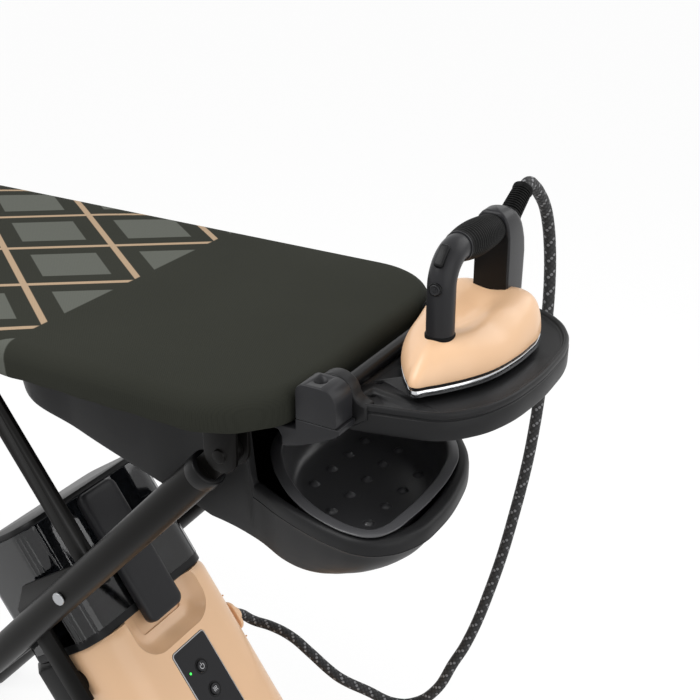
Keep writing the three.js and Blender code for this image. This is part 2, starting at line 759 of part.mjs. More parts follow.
// Outline of the rest's plate: straight along the board, bulged past the back hinge
function restOutline() {
  const inner = REST_EAR_Y - GAP * 5;
  const blockSide = REST_AXIS_X + REST_CAP_HALF + GAP * 10;
  const bulgeShares = [
    [0.503, -0.515],
    [0.701, -0.459],
    [0.844, -0.337],
    [0.934, -0.184],
    [0.994, 0.092],
    [1, 0.367],
    [0.964, 0.622],
    [0.886, 0.776],
    [0.766, 0.898],
    [0.623, 0.974],
    [0.467, 1],
    [0.335, 0.939],
  ];
  const bulge = bulgeShares.map(([along, across]) => [along * REST_REACH_X, across * REST_BULGE_Y]);
  const points = [
    [OVERRUN / 2, -inner],
    [REST_AXIS_X + REST_CAP_HALF, -inner - REST_RIM_HEIGHT],
    ...bulge,
    [blockSide, REST_BULGE_Y * 0.84],
    [blockSide, earStart(1) + REST_EAR_WIDTH],
    [OVERRUN / 2, inner + REST_BACK_SHIFT],
  ];
  return points.map(([x, y]) => new THREE.Vector2(x, y));
}

// An arch round the rest's hinge axis, standing on a level
function archPoints(low) {
  const points = [];
  for (let i = 0; i <= 8; i++) {
    const a = (i * Math.PI) / 8;
    points.push([REST_AXIS_X + REST_CAP_HALF * Math.cos(a), REST_CAP_HALF * Math.sin(a) - REST_AXIS_DEPTH]);
  }
  return [[REST_AXIS_X + REST_CAP_HALF, low], ...points, [REST_AXIS_X - REST_CAP_HALF, low]];
}

function buildRest() {
  const outline = restOutline();
  const bottom = -REST_TOP_DEPTH - REST_THICK;
  const plateTop = REST_RIM_HEIGHT - REST_TOP_DEPTH;
  const wall = REST_RIM_HEIGHT;
  const plate = loft([
    ringAt(inset(outline, REST_RIM_HEIGHT), bottom),
    ringAt(outline, bottom + REST_RIM_HEIGHT),
    ringAt(outline, plateTop - REST_RIM_HEIGHT / 2),
    ringAt(inset(outline, REST_RIM_HEIGHT / 4), plateTop),
  ]);
  const dish = slab(inset(outline, REST_RIM_WIDTH), -REST_TOP_DEPTH, plateTop + OVERRUN);
  const hollow = slab(inset(outline, REST_RIM_HEIGHT * 2), bottom - OVERRUN, -REST_TOP_DEPTH - wall);
  const ears = [-1, 1].map((side) => {
    const near = earStart(side);
    const far = near + side * REST_EAR_WIDTH;
    return prism(archPoints(bottom + wall), Math.min(near, far), Math.max(near, far));
  });
  const reach = REST_EAR_Y + REST_EAR_WIDTH + REST_BLOCK_WIDTH + GAP * 3;
  const axis = (y, radius) =>
    rod(
      [REST_AXIS_X, -y, -REST_AXIS_DEPTH],
      [REST_AXIS_X, y + REST_BACK_SHIFT, -REST_AXIS_DEPTH],
      radius,
      radius,
      12,
    );
  const seat = slab(inset(soleOutline(), -OVERRUN), -REST_TOP_DEPTH, REST_CAP_HALF).translate(IRON_X, 0, 0);
  const pinSlot = axis(reach, REST_PIN_RADIUS + GAP * 2);
  const drainShares = [
    [0.311, -0.316, 1.4],
    [0.24, -0.408, 1],
  ];
  const drains = drainShares.map(([along, across, size]) => {
    const [x, y] = [along * REST_REACH_X, across * REST_BULGE_Y];
    const radius = REST_DRAIN_RADIUS * size;
    return rod([x, y, bottom - OVERRUN], [x, y, plateTop + OVERRUN], radius, radius, 10);
  });
  const body = cut(join(cut(plate, dish, hollow), ...ears), seat, pinSlot, ...drains);
  // The sole stands clear of the floor on two ribs
  const ribs = [-1, 1].map((side) => {
    const middle = IRON_X + (side * SEAT_RIB_SPREAD) / 2;
    const ribX = [middle - SEAT_RIB_WIDTH / 2, middle + SEAT_RIB_WIDTH / 2];
    return block(...ribX, 0, SEAT_RIB_LENGTH, -REST_TOP_DEPTH - wall / 2, SOLE_STAND - REST_TOP_DEPTH);
  });
  add(boardFrame, "iron_rest", join(body, ...ribs), darkPlastic);

  const pinEnd = reach - REST_BASE_TIP;
  add(boardFrame, "rest_pin", axis(pinEnd, REST_PIN_RADIUS), steel);

  const baseParts = [];
  const baseLeft = REST_AXIS_X - REST_CAP_HALF - REST_BASE_LENGTH;
  const baseTop = -PAN_FLOOR_DEPTH - GAP;
  const crossRight = baseLeft + REST_BASE_REACH;
  for (const [name, side] of [
    ["front", -1],
    ["back", 1],
  ]) {
    const near = earStart(side) + side * (REST_EAR_WIDTH + GAP * 3);
    const far = near + side * REST_BLOCK_WIDTH;
    const [y0, y1] = [Math.min(near, far), Math.max(near, far)];
    const left = REST_AXIS_X - REST_CAP_HALF;
    const right = REST_AXIS_X + REST_CAP_HALF;
    const peak = REST_CAP_HALF - REST_AXIS_DEPTH;
    const cap = new THREE.Shape();
    cap.moveTo(left, GAP - REST_PARTING_DEPTH);
    cap.lineTo(right, GAP - REST_PARTING_DEPTH);
    cap.absarc(right - REST_CAP_ROUND, peak - REST_CAP_ROUND, REST_CAP_ROUND, 0, Math.PI / 2);
    cap.absarc(left + REST_CAP_ROUND, peak - REST_CAP_ROUND, REST_CAP_ROUND, Math.PI / 2, Math.PI);
    const capBody = prism(cap.getPoints(4).map((p) => [p.x, p.y]), y0, y1);
    const middle = (y0 + y1) / 2;
    const socket = rod(
      [REST_AXIS_X - GAP * 10, middle, peak - REST_SOCKET_DEPTH],
      [REST_AXIS_X - GAP * 10, middle, peak + OVERRUN],
      REST_SOCKET_RADIUS,
      REST_SOCKET_RADIUS,
      16,
    );
    const bore = axis(reach + OVERRUN, REST_PIN_RADIUS + GAP);
    add(boardFrame, `rest_cap_${name}`, cut(capBody, socket, bore), midPlastic);
    const coverSide = -BOARD_SETBACK + GAP * 2;
    const base = [
      [coverSide, -REST_PARTING_DEPTH],
      [right + GAP * 10, -REST_PARTING_DEPTH],
      [right + GAP * 10, -REST_PARTING_DEPTH - REST_BASE_TIP],
      [left - REST_BASE_REACH, -REST_PARTING_DEPTH - REST_BASE_DROP],
      [baseLeft, -REST_PARTING_DEPTH - REST_BASE_DROP],
      [baseLeft, baseTop],
      [crossRight, baseTop],
      [crossRight, -COVER_DEPTH - GAP],
      [coverSide, -COVER_DEPTH - GAP],
    ];
    baseParts.push(prism(base, y0, y1));
  }
  const span = REST_EAR_Y + REST_EAR_WIDTH + REST_BLOCK_WIDTH / 2;
  const crossLeft = baseLeft + OVERRUN;
  const crossLow = baseTop - REST_BASE_PLATE;
  const crossPlate = block(crossLeft, crossRight, -span, span + REST_BACK_SHIFT, crossLow, baseTop);
  add(boardFrame, "rest_base", join(crossPlate, ...baseParts), midPlastic);
}

buildRest();

// Brackets under the board with the riveted pins that leg A hangs on
function buildBrackets() {
  const cheek = TONGUE_THICK / 2 + GAP * 2;
  for (const [name, side] of [
    ["front", -1],
    ["back", 1],
  ]) {
    const middle = side * LEG_Y;
    const top = -PAN_FLOOR_DEPTH - GAP;
    const plate = (low, high) => {
      const points = [
        [PIVOT_X + BRACKET_HALF, top],
        [PIVOT_X - BRACKET_HALF, top],
      ];
      for (let i = 0; i <= 8; i++) {
        const a = Math.PI + (i * Math.PI) / 8;
        points.push([PIVOT_X + BRACKET_HALF * Math.cos(a), BRACKET_HALF * Math.sin(a) - PIVOT_DEPTH]);
      }
      return prism(points, low, high);
    };
    const outer = plate(middle - cheek - BRACKET_PLATE, middle + cheek + BRACKET_PLATE);
    const slot = block(
      PIVOT_X - BRACKET_HALF * 2,
      PIVOT_X + BRACKET_HALF * 2,
      middle - cheek,
      middle + cheek,
      -PIVOT_DEPTH - BRACKET_HALF * 2,
      top - BRACKET_PLATE,
    );
    const reach = cheek + BRACKET_PLATE + GAP;
    const axis = (radius, end) =>
      rod([PIVOT_X, middle - end, -PIVOT_DEPTH], [PIVOT_X, middle + end, -PIVOT_DEPTH], radius, radius, 12);
    const head = (sign) =>
      rod(
        [PIVOT_X, middle + sign * (reach - OVERRUN), -PIVOT_DEPTH],
        [PIVOT_X, middle + sign * (reach + PIN_HEAD_THICK), -PIVOT_DEPTH],
        PIN_HEAD_RADIUS,
        PIN_HEAD_RADIUS - OVERRUN / 2,
        12,
      );
    const bracket = join(cut(outer, slot), axis(PIN_RADIUS, reach), head(-1), head(1));
    add(boardFrame, `leg_bracket_${name}`, bracket, blackPaint);
  }
}
buildBrackets();

// Leg A's frame: its pivot is the origin and the leg runs down its own -Z
const legA = new THREE.Group();
legA.position.set(PIVOT_X, 0, -PIVOT_DEPTH);
legA.rotation.y = degrees(90 - LEG_A_ANGLE);
boardFrame.add(legA);

function buildLegA() {
  const end = -LEG_A_LENGTH;
  const roomEnd = FOOT_BAR_HALF + GAP;
  const barInner = FOOT_BAR_RADIUS - FOOT_BAR_WALL;
  const bar = cut(
    rod([0, -FOOT_BAR_HALF, end], [0, FOOT_BAR_HALF, end], FOOT_BAR_RADIUS, FOOT_BAR_RADIUS, 16),
    rod([0, -roomEnd, end], [0, roomEnd, end], barInner, barInner, 16),
  );
  const roomRadius = FOOT_BAR_RADIUS + GAP;
  const barRoom = rod([0, -roomEnd, end], [0, roomEnd, end], roomRadius, roomRadius, 16);
  for (const [name, side] of [
    ["front", -1],
    ["back", 1],
  ]) {
    const y = side * LEG_Y;
    const bore = LEG_A_RADIUS - LEG_A_WALL;
    const outer = rod([0, y, end], [0, y, -LEG_A_START], LEG_A_RADIUS, LEG_A_RADIUS, 20);
    const inner = rod([0, y, end - OVERRUN], [0, y, -LEG_A_START * 2], bore, bore, 20);
    const boltInner = side * (CASE_HALF_WIDTH + BOLT_OFFSET);
    const boltOuter = side * (LEG_Y + LEG_A_RADIUS + GAP);
    const bolt = (radius) => rod([0, boltInner, -LEG_A_ARM], [0, boltOuter, -LEG_A_ARM], radius, radius, 12);
    const collar = rod(
      [0, y, -LEG_A_START - OVERRUN],
      [0, y, -LEG_A_START + TONGUE_HALF / 2],
      LEG_A_RADIUS,
      LEG_A_RADIUS - OVERRUN,
      20,
    );
    const tonguePoints = [
      [TONGUE_HALF, -LEG_A_START],
    ];
    for (let i = 0; i <= 8; i++) {
      const a = (i * Math.PI) / 8;
      tonguePoints.push([TONGUE_HALF * Math.cos(a), TONGUE_HALF * Math.sin(a)]);
    }
    tonguePoints.push([-TONGUE_HALF, -LEG_A_START]);
    const tongue = prism(tonguePoints, y - TONGUE_THICK / 2, y + TONGUE_THICK / 2);
    const eyeRadius = PIN_RADIUS + GAP;
    const eye = rod([0, y - TONGUE_THICK, 0], [0, y + TONGUE_THICK, 0], eyeRadius, eyeRadius, 12);
    const leg = cut(outer, inner, barRoom, bolt(PIN_RADIUS + GAP));
    add(legA, `leg_tube_${name}`, cut(join(leg, collar, tongue), eye), blackPaint);

    const head = rod(
      [0, boltOuter, -LEG_A_ARM],
      [0, boltOuter + side * PIN_HEAD_THICK, -LEG_A_ARM],
      PIN_HEAD_RADIUS,
      PIN_HEAD_RADIUS,
      12,
    );
    const nut = rod(
      [0, boltInner, -LEG_A_ARM],
      [0, boltInner + side * PIN_HEAD_THICK, -LEG_A_ARM],
      PIN_HEAD_RADIUS,
      PIN_HEAD_RADIUS,
      6,
    );
    add(legA, `cross_bolt_${name}`, join(bolt(PIN_RADIUS), head, nut), steel);

    const capStart = side * (LEG_Y + LEG_A_RADIUS + GAP * 2);
    const capEnd = capStart + side * FOOT_CAP_LENGTH;
    const capBody = rod([0, capStart, end], [0, capEnd, end], FOOT_CAP_RADIUS, FOOT_CAP_RADIUS, 24);
    add(legA, `foot_cap_${name}`, cut(capBody, barRoom), rubber);
  }
  add(legA, "foot_bar", bar, blackPaint);
  const stayEnd = LEG_Y - LEG_A_RADIUS - GAP;
  const stay = rod([0, -stayEnd, -STAY_BELOW], [0, stayEnd, -STAY_BELOW], STAY_RADIUS, STAY_RADIUS, 12);
  add(legA, "leg_stay", stay, blackPaint);
}
buildLegA();

// Leg B's frame: the crossing pivot is its origin, +X runs down the housing and +Z off its face
const legB = new THREE.Group();
const crossX = PIVOT_X - LEG_A_ARM * Math.cos(degrees(LEG_A_ANGLE));
const crossZ = -PIVOT_DEPTH - LEG_A_ARM * Math.sin(degrees(LEG_A_ANGLE));
legB.position.set(crossX, 0, crossZ);
legB.rotation.y = degrees(LEG_B_ANGLE);
boardFrame.add(legB);

function buildCarriers() {
  const inner = CASE_HALF_WIDTH + GAP + PIN_HEAD_THICK * 2;
  for (const [name, side] of [
    ["front", -1],
    ["back", 1],
  ]) {
    const near = side * inner;
    const far = side * (inner + CARRIER_THICK);
    const [y0, y1] = [Math.min(near, far), Math.max(near, far)];
    const points = [
      [-LEG_B_ARM - CARRIER_HALF, -CARRIER_HALF / 2],
      [-LEG_B_ARM - CARRIER_HALF, CARRIER_HALF / 2],
      [-LEG_B_ARM - CARRIER_HALF / 2, CARRIER_HALF],
      [CARRIER_HALF, CARRIER_HALF],
      [CARRIER_HALF, CASE_FACE - CASE_SHOULDER],
      [CARRIER_END, CASE_FACE - CASE_SHOULDER],
      [CARRIER_END, CASE_PARTING],
      [CARRIER_HALF / 2, CASE_PARTING],
      [-CARRIER_HALF, CASE_FACE - CASE_SHOULDER],
      [-CARRIER_HALF, -CARRIER_HALF],
      [-LEG_B_ARM - CARRIER_HALF / 2, -CARRIER_HALF],
    ];
    const eye = (x, radius) => rod([x, -LEG_Y, 0], [x, LEG_Y, 0], radius, radius, 12);
    const plate = cut(prism(points, y0, y1), eye(0, PIN_RADIUS + GAP), eye(-LEG_B_ARM, SLIDER_RADIUS + GAP));
    const boss = rod(
      [CASE_TOP + CARRIER_HALF * 2, side * (CASE_HALF_WIDTH + GAP), CASE_PARTING + CARRIER_HALF],
      [CASE_TOP + CARRIER_HALF * 2, near + (side * CARRIER_THICK) / 2, CASE_PARTING + CARRIER_HALF],
      CARRIER_HALF,
      CARRIER_HALF,
      16,
    );
    add(legB, `carrier_${name}`, join(plate, boss), blackPaint);
  }
  const shoeStart = inner + CARRIER_THICK + OVERRUN * 2;
  const bar = rod([-LEG_B_ARM, -shoeStart - GAP, 0], [-LEG_B_ARM, shoeStart + GAP, 0], SLIDER_RADIUS);
  const shoes = [-1, 1].map((side) =>
    rod([-LEG_B_ARM, side * shoeStart, 0], [-LEG_B_ARM, side * (shoeStart + ROLLER_WIDTH), 0], ROLLER_RADIUS),
  );
  add(legB, "slide_bar", join(bar, ...shoes), steel);
}
buildCarriers();

// Lever that frees the height lock, and the forked mount that it hangs in
const leverX = RAIL_LEFT_X - LEVER_WIDTH * 2;
const leverLow = -PAN_FLOOR_DEPTH - LEVER_DROP;
const leverPin = (half, radius) =>
  rod(
    [leverX - half, -LEVER_START, leverLow - LEVER_THICK / 2],
    [leverX + half, -LEVER_START, leverLow - LEVER_THICK / 2],
    radius,
  );

function leverMount() {
  const top = -PAN_FLOOR_DEPTH - GAP;
  const half = LEVER_WIDTH / 2;
  const cheek = half + GAP * 2;
  const side = cheek + BRACKET_PLATE;
  const far = leverLow - LEVER_THICK;
  const outer = block(leverX - side, leverX + side, -LEVER_START - half, half - LEVER_START, far, top);
  const slot = block(
    leverX - cheek,
    leverX + cheek,
    -LEVER_START - LEVER_WIDTH,
    LEVER_WIDTH - LEVER_START,
    far - OVERRUN,
    top - BRACKET_PLATE,
  );
  const stripEnd = RAIL_LEFT_X + RACK_TOOTH;
  const strip = block(leverX - half, stripEnd, -LEVER_START, RACK_TOOTH, top - BRACKET_PLATE, top);
  return [join(cut(outer, slot), strip), leverPin(cheek + GAP, LEVER_PIN_RADIUS)];
}

function buildLever() {
  const half = LEVER_WIDTH / 2;
  const far = -LEVER_START - LEVER_LENGTH;
  const bar = block(leverX - half, leverX + half, far, half - LEVER_START, leverLow - LEVER_THICK, leverLow);
  add(boardFrame, "height_lever", cut(bar, leverPin(LEVER_WIDTH, LEVER_PIN_RADIUS + GAP)), midPlastic);
}
buildLever();

// Rails that leg B's shoes slide in, and the locking rack between them
function buildRails() {
  const shoeStart = CASE_HALF_WIDTH + GAP + PIN_HEAD_THICK * 2 + CARRIER_THICK + OVERRUN * 2;
  for (const [name, side] of [
    ["front", -1],
    ["back", 1],
  ]) {
    const web = shoeStart + RAIL_DEPTH_Y;
    const high = RAIL_INNER_HALF - PIVOT_DEPTH;
    const low = -RAIL_INNER_HALF - PIVOT_DEPTH;
    const section = [
      [shoeStart, high],
      [web, high],
      [web, low],
      [shoeStart, low],
      [shoeStart, low - RAIL_PLATE],
      [web + RAIL_PLATE, low - RAIL_PLATE],
      [web + RAIL_PLATE, -PAN_FLOOR_DEPTH - GAP],
      [web, -PAN_FLOOR_DEPTH - GAP],
      [web, high + RAIL_PLATE],
      [shoeStart, high + RAIL_PLATE],
    ].map(([y, z]) => [side * y, z]);
    add(boardFrame, `slide_rail_${name}`, sidePrism(section, RAIL_LEFT_X, RAIL_RIGHT_X), blackPaint);
  }
  const top = -PAN_FLOOR_DEPTH - GAP;
  const points = [
    [RAIL_RIGHT_X, top],
    [RAIL_LEFT_X, top],
  ];
  const teeth = Math.floor((RAIL_RIGHT_X - RAIL_LEFT_X) / RACK_PITCH);
  for (let i = 0; i < teeth; i++) {
    const x = RAIL_LEFT_X + i * RACK_PITCH;
    const low = top - RACK_TOOTH;
    points.push([x, low], [x + RACK_PITCH - RACK_TOOTH, low], [x + RACK_PITCH, top - OVERRUN]);
  }
  points.push([RAIL_RIGHT_X, top - OVERRUN]);
  const [mount, pin] = leverMount();
  add(boardFrame, "height_rack", join(prism(points, -RACK_TOOTH, RACK_TOOTH), mount, pin), steel);
}
buildRails();

// Cross-section of the generator's housing and tank: a box with a rounded face and back
function roundedSection(x, half, top, bottom, shoulder, foot) {
  const shape = new THREE.Shape();
  shape.absarc(half - shoulder, top - shoulder, shoulder, 0, Math.PI / 2);
  shape.absarc(shoulder - half, top - shoulder, shoulder, Math.PI / 2, Math.PI);
  shape.absarc(foot - half, bottom + foot, foot, Math.PI, Math.PI * 1.5);
  shape.absarc(half - foot, bottom + foot, foot, Math.PI * 1.5, Math.PI * 2);
  return shape.getPoints(3).map((p) => new THREE.Vector3(x, p.x, p.y));
}

// The housing tapers round its wheels, where its back stays off the floor
function caseSections(wall) {
  const length = CASE_END - CASE_TOP;
  const depth = CASE_FACE - CASE_BACK;
  const stationShares = [
    [0, 0.97, 0.02, 0.02],
    [0.02, 1, 0, 0],
    [0.4, 1, 0, 0],
    [0.82, 1, 0, 0.06],
    [0.935, 0.932, 0.09, 0.21],
    [1, 0.76, 0.28, 0.465],
  ];
  return stationShares.map(([along, across, faceDrop, backLift], i) => {
    const inwards = i === 0 ? wall : 0;
    const x = CASE_TOP + length * along + inwards - (i === stationShares.length - 1 ? wall : 0);
    const top = CASE_FACE - depth * faceDrop - wall;
    const bottom = CASE_BACK + depth * backLift + wall;
    const round = Math.min(CASE_SHOULDER - wall, (top - bottom) * 0.45);
    const half = CASE_HALF_WIDTH * across - wall;
    return roundedSection(x, half, top, bottom, round, Math.min(CASE_FOOT_ROUND, round));
  });
}

// A rounded rectangle in X and Y
function roundedPlate(x0, x1, half, round, z0, z1) {
  const shape = new THREE.Shape();
  shape.absarc(x1 - round, half - round, round, 0, Math.PI / 2);
  shape.absarc(x0 + round, half - round, round, Math.PI / 2, Math.PI);
  shape.absarc(x0 + round, round - half, round, Math.PI, Math.PI * 1.5);
  shape.absarc(x1 - round, round - half, round, Math.PI * 1.5, Math.PI * 2);
  return slab(shape.getPoints(3), z0, z1);
}

function buildCase() {
  const outer = loft(caseSections(0));
  const recessFloor = CASE_FACE - RECESS_DEPTH;
  const recess = roundedPlate(
    CASE_TOP - RECESS_HALF,
    RECESS_END,
    RECESS_HALF,
    RECESS_HALF / 2,
    recessFloor,
    CASE_FACE + OVERRUN,
  );
  const recessWall = roundedPlate(
    CASE_TOP - RECESS_HALF,
    RECESS_END + CASE_WALL,
    RECESS_HALF + CASE_WALL,
    RECESS_HALF / 2,
    recessFloor - CASE_WALL,
    CASE_FACE + OVERRUN,
  );
  const inner = cut(loft(caseSections(CASE_WALL)), recessWall);
  const panelRoom = block(
    PANEL_START - GAP,
    PANEL_START + PANEL_LENGTH + GAP,
    -PANEL_HALF - GAP,
    PANEL_HALF + GAP,
    CASE_FACE - CASE_WALL - OVERRUN,
    CASE_FACE + OVERRUN,
  );
  const axleEnds = [-LEG_Y, LEG_Y].map((y) => [AXLE_ALONG, y, AXLE_HEIGHT]);
  const axleRoom = rod(...axleEnds, AXLE_RADIUS + GAP);
  const outletHole = rod(
    [OUTLET_ALONG, CASE_HALF_WIDTH - CASE_WALL - OVERRUN, OUTLET_HEIGHT],
    [OUTLET_ALONG, CASE_HALF_WIDTH + OVERRUN, OUTLET_HEIGHT],
    HOSE_RADIUS + OVERRUN,
  );
  const neckHeight = (TANK_FACE + TANK_BACK) / 2;
  const neckRoom = rod(
    [CASE_TOP - OVERRUN, 0, neckHeight],
    [CASE_TOP + CASE_WALL + OVERRUN, 0, neckHeight],
    TANK_NECK_RADIUS + OVERRUN,
  );
  const inletHole = rod(
    [INLET_ALONG, -CASE_HALF_WIDTH - OVERRUN, CASE_PARTING - INLET_RADIUS * 2],
    [INLET_ALONG, OVERRUN + CASE_WALL - CASE_HALF_WIDTH, CASE_PARTING - INLET_RADIUS * 2],
    INLET_RADIUS - OVERRUN,
  );
  const shell = cut(outer, inner, recess, panelRoom, axleRoom, outletHole, neckRoom, inletHole);
  const big = CASE_END * 2;
  const upper = block(-big, big, -big, big, CASE_PARTING + GAP / 2, big);
  const lower = block(-big, big, -big, big, -big, CASE_PARTING - GAP / 2);
  add(legB, "generator_front", common(shell, upper), tan);
  add(legB, "generator_back", common(shell, lower), darkPlastic);

  // The socket that the steam hose comes out of, on the housing's far side
  const flange = rod(
    [OUTLET_ALONG, CASE_HALF_WIDTH + GAP, OUTLET_HEIGHT],
    [OUTLET_ALONG, CASE_HALF_WIDTH + OUTLET_LENGTH, OUTLET_HEIGHT],
    OUTLET_RADIUS + OVERRUN,
    OUTLET_RADIUS,
    20,
  );
  add(legB, "hose_socket", flange, tan);

  // The gland where the mains lead goes in
  const glandHeight = CASE_PARTING - INLET_RADIUS * 2;
  const gland = rod(
    [INLET_ALONG, -CASE_HALF_WIDTH - INLET_LENGTH, glandHeight],
    [INLET_ALONG, -CASE_HALF_WIDTH - GAP, glandHeight],
    INLET_RADIUS - OVERRUN,
    INLET_RADIUS,
    16,
  );
  const glandBore = rod(
    [INLET_ALONG, -CASE_HALF_WIDTH - INLET_LENGTH - OVERRUN, glandHeight],
    [INLET_ALONG, -CASE_HALF_WIDTH, glandHeight],
    INLET_RADIUS / 3,
  );
  add(legB, "mains_gland", cut(gland, glandBore), rubber);
}
buildCase();

function buildPanel() {
  const top = CASE_FACE + PANEL_PROUD;
  const low = top - PANEL_THICK;
  const plate = block(PANEL_START, PANEL_START + PANEL_LENGTH, -PANEL_HALF, PANEL_HALF, low, top);
  const roomRadius = BUTTON_RADIUS + GAP;
  const room = (x) => rod([x, 0, low - OVERRUN], [x, 0, top + OVERRUN], roomRadius, roomRadius, 16);
  const keys = [
    ["power_button", POWER_ALONG],
    ["mode_button", MODE_ALONG],
  ];
  const rooms = keys.map(([, x]) => room(x));
  add(legB, "control_panel", cut(plate, ...rooms), darkPlastic);
  for (const [name, x] of keys) {
    const button = rod([x, 0, low], [x, 0, top + BUTTON_PROUD], BUTTON_RADIUS, BUTTON_RADIUS - GAP * 2, 16);
    add(legB, name, button, midPlastic);
  }
  const cardTop = low - CARD_DROP;
  const cardMiddle = PANEL_START + PANEL_LENGTH / 2;
  const card = block(
    cardMiddle - BOARD_CARD_LENGTH / 2,
    cardMiddle + BOARD_CARD_LENGTH / 2,
    -BOARD_CARD_WIDTH / 2,
    BOARD_CARD_WIDTH / 2,
    cardTop - BOARD_CARD_THICK,
    cardTop,
  );
  add(legB, "circuit_board", card, board);
}
buildPanel();

// Boiler with its filler and steam valve, and the pump that feeds it
function buildBoiler() {
  const half = BOILER_LENGTH / 2;
  const dome = BOILER_RADIUS / 3;
  const domeShares = [
    [1, 0],
    [0.6, 0.8],
    [0, 1],
  ];
  const drum = (wall) => {
    const radius = BOILER_RADIUS - wall;
    const one = domeShares.map(([across, up]) => [radius * across, half + (dome - wall) * up]);
    const other = one.map(([r, y]) => [r, -y]).reverse();
    const profile = [...other, ...one].map(([r, y]) => new THREE.Vector2(r, y));
    const lathe = new THREE.LatheGeometry(profile, 20).rotateZ(-Math.PI / 2);
    return lathe.translate(BOILER_ALONG, 0, BOILER_HEIGHT);
  };
  const start = BOILER_ALONG - half;
  const valveStart = [start - BOILER_VALVE_LENGTH, 0, BOILER_HEIGHT];
  const valve = rod(valveStart, [start, 0, BOILER_HEIGHT], BOILER_VALVE_RADIUS);
  const boreStart = [start - BOILER_VALVE_LENGTH - OVERRUN, 0, BOILER_HEIGHT];
  const bore = rod(boreStart, [start, 0, BOILER_HEIGHT], BOILER_BORE);
  const outlet = rod(
    [BOILER_ALONG - half / 2, BOILER_RADIUS / 2, BOILER_HEIGHT],
    [BOILER_ALONG - half / 2, BOILER_RADIUS + BOILER_VALVE_LENGTH, BOILER_HEIGHT],
    PUMP_RADIUS,
  );
  add(legB, "boiler", cut(join(drum(0), valve, outlet), drum(BOILER_WALL), bore), steel);
  const pump = rod(
    [PUMP_ALONG, PUMP_Y, BOILER_HEIGHT],
    [PUMP_ALONG + PUMP_LENGTH, PUMP_Y, BOILER_HEIGHT],
    PUMP_RADIUS,
  );
  add(legB, "water_pump", pump, midPlastic);
}
buildBoiler();

// Tank: an open-topped cup whose lid hinges at its face, and the spine it is lifted by
function buildTank() {
  const end = CASE_TOP - GAP * 2;
  const section = (x, wall) =>
    roundedSection(
      x,
      TANK_HALF_WIDTH - wall,
      TANK_FACE - wall,
      TANK_BACK + wall,
      TANK_SHOULDER - wall,
      TANK_SHOULDER / 2 - wall,
    );
  const outer = loft([section(TANK_START, 0), section(end, 0)]);
  const inner = loft([section(TANK_START - OVERRUN, TANK_WALL), section(end - TANK_WALL, TANK_WALL)]);
  const middle = (TANK_FACE + TANK_BACK) / 2;
  const neck = rod([end - GAP, 0, middle], [end + TANK_NECK_LENGTH, 0, middle], TANK_NECK_RADIUS);
  add(legB, "water_tank", join(cut(outer, inner), neck), clear);

  const top = TANK_FACE + GAP + SPINE_THICK;
  const spine = roundedPlate(TANK_START, SPINE_END, SPINE_HALF, SPINE_ROUND, TANK_FACE + GAP, top);
  add(legB, "tank_handle", spine, darkPlastic);

  const lidEnd = TANK_START - GAP;
  const lid = loft([section(lidEnd - LID_THICK, OVERRUN), section(lidEnd - OVERRUN, 0), section(lidEnd, 0)]);
  add(legB, "tank_lid", lid, darkPlastic);
}
buildTank();

// Wheels and their axle at the housing's foot
function buildWheels() {
  const reach = WHEEL_Y + WHEEL_WIDTH / 2;
  const axle = rod([AXLE_ALONG, -reach, AXLE_HEIGHT], [AXLE_ALONG, reach, AXLE_HEIGHT], AXLE_RADIUS);
  add(legB, "wheel_axle", axle, steel);
  const half = WHEEL_WIDTH / 2;
  const bore = AXLE_RADIUS + WHEEL_BORE_GAP;
  const rimInner = WHEEL_RADIUS - TYRE_THICK - WHEEL_WEB;
  const web = WHEEL_WEB / 2;
  const profile = [
    [bore, -half],
    [WHEEL_HUB_RADIUS, -half],
    [WHEEL_HUB_RADIUS, -web],
    [rimInner, -web],
    [rimInner, -half],
    [WHEEL_RADIUS - web, -half],
    [WHEEL_RADIUS, web - half],
    [WHEEL_RADIUS, half - web],
    [WHEEL_RADIUS - web, half],
    [rimInner, half],
    [rimInner, web],
    [WHEEL_HUB_RADIUS, web],
    [WHEEL_HUB_RADIUS, half],
    [bore, half],
    [bore, -half],
  ].map(([r, y]) => new THREE.Vector2(r, y));
  for (const [name, side] of [
    ["front", -1],
    ["back", 1],
  ]) {
    const wheel = new THREE.LatheGeometry(profile, 24).translate(AXLE_ALONG, side * WHEEL_Y, AXLE_HEIGHT);
    add(legB, `wheel_${name}`, wheel, rubber);
  }
}
buildWheels();

// The iron's frame: the middle of its sole, on the rest
const iron = new THREE.Group();
iron.position.set(IRON_X, 0, IRON_LIFT_GAP - REST_TOP_DEPTH);
boardFrame.add(iron);

function soleOutline() {
  const length = IRON_HEEL_Y - IRON_NOSE_Y;
  const halfShares = [
    [0.21, 0.055],
    [0.44, 0.139],
    [0.71, 0.267],
    [0.86, 0.377],
    [0.965, 0.534],
    [1, 0.683],
    [0.965, 0.837],
    [0.8, 0.94],
    [0.4, 0.995],
  ];
  const right = halfShares.map(([across, along]) => [IRON_HALF_WIDTH * across, IRON_NOSE_Y + length * along]);
  const left = [...right].reverse().map(([x, y]) => [-x, y]);
  return smoothOutline([[0, IRON_NOSE_Y], ...right, [0, IRON_HEEL_Y], ...left], 36);
}

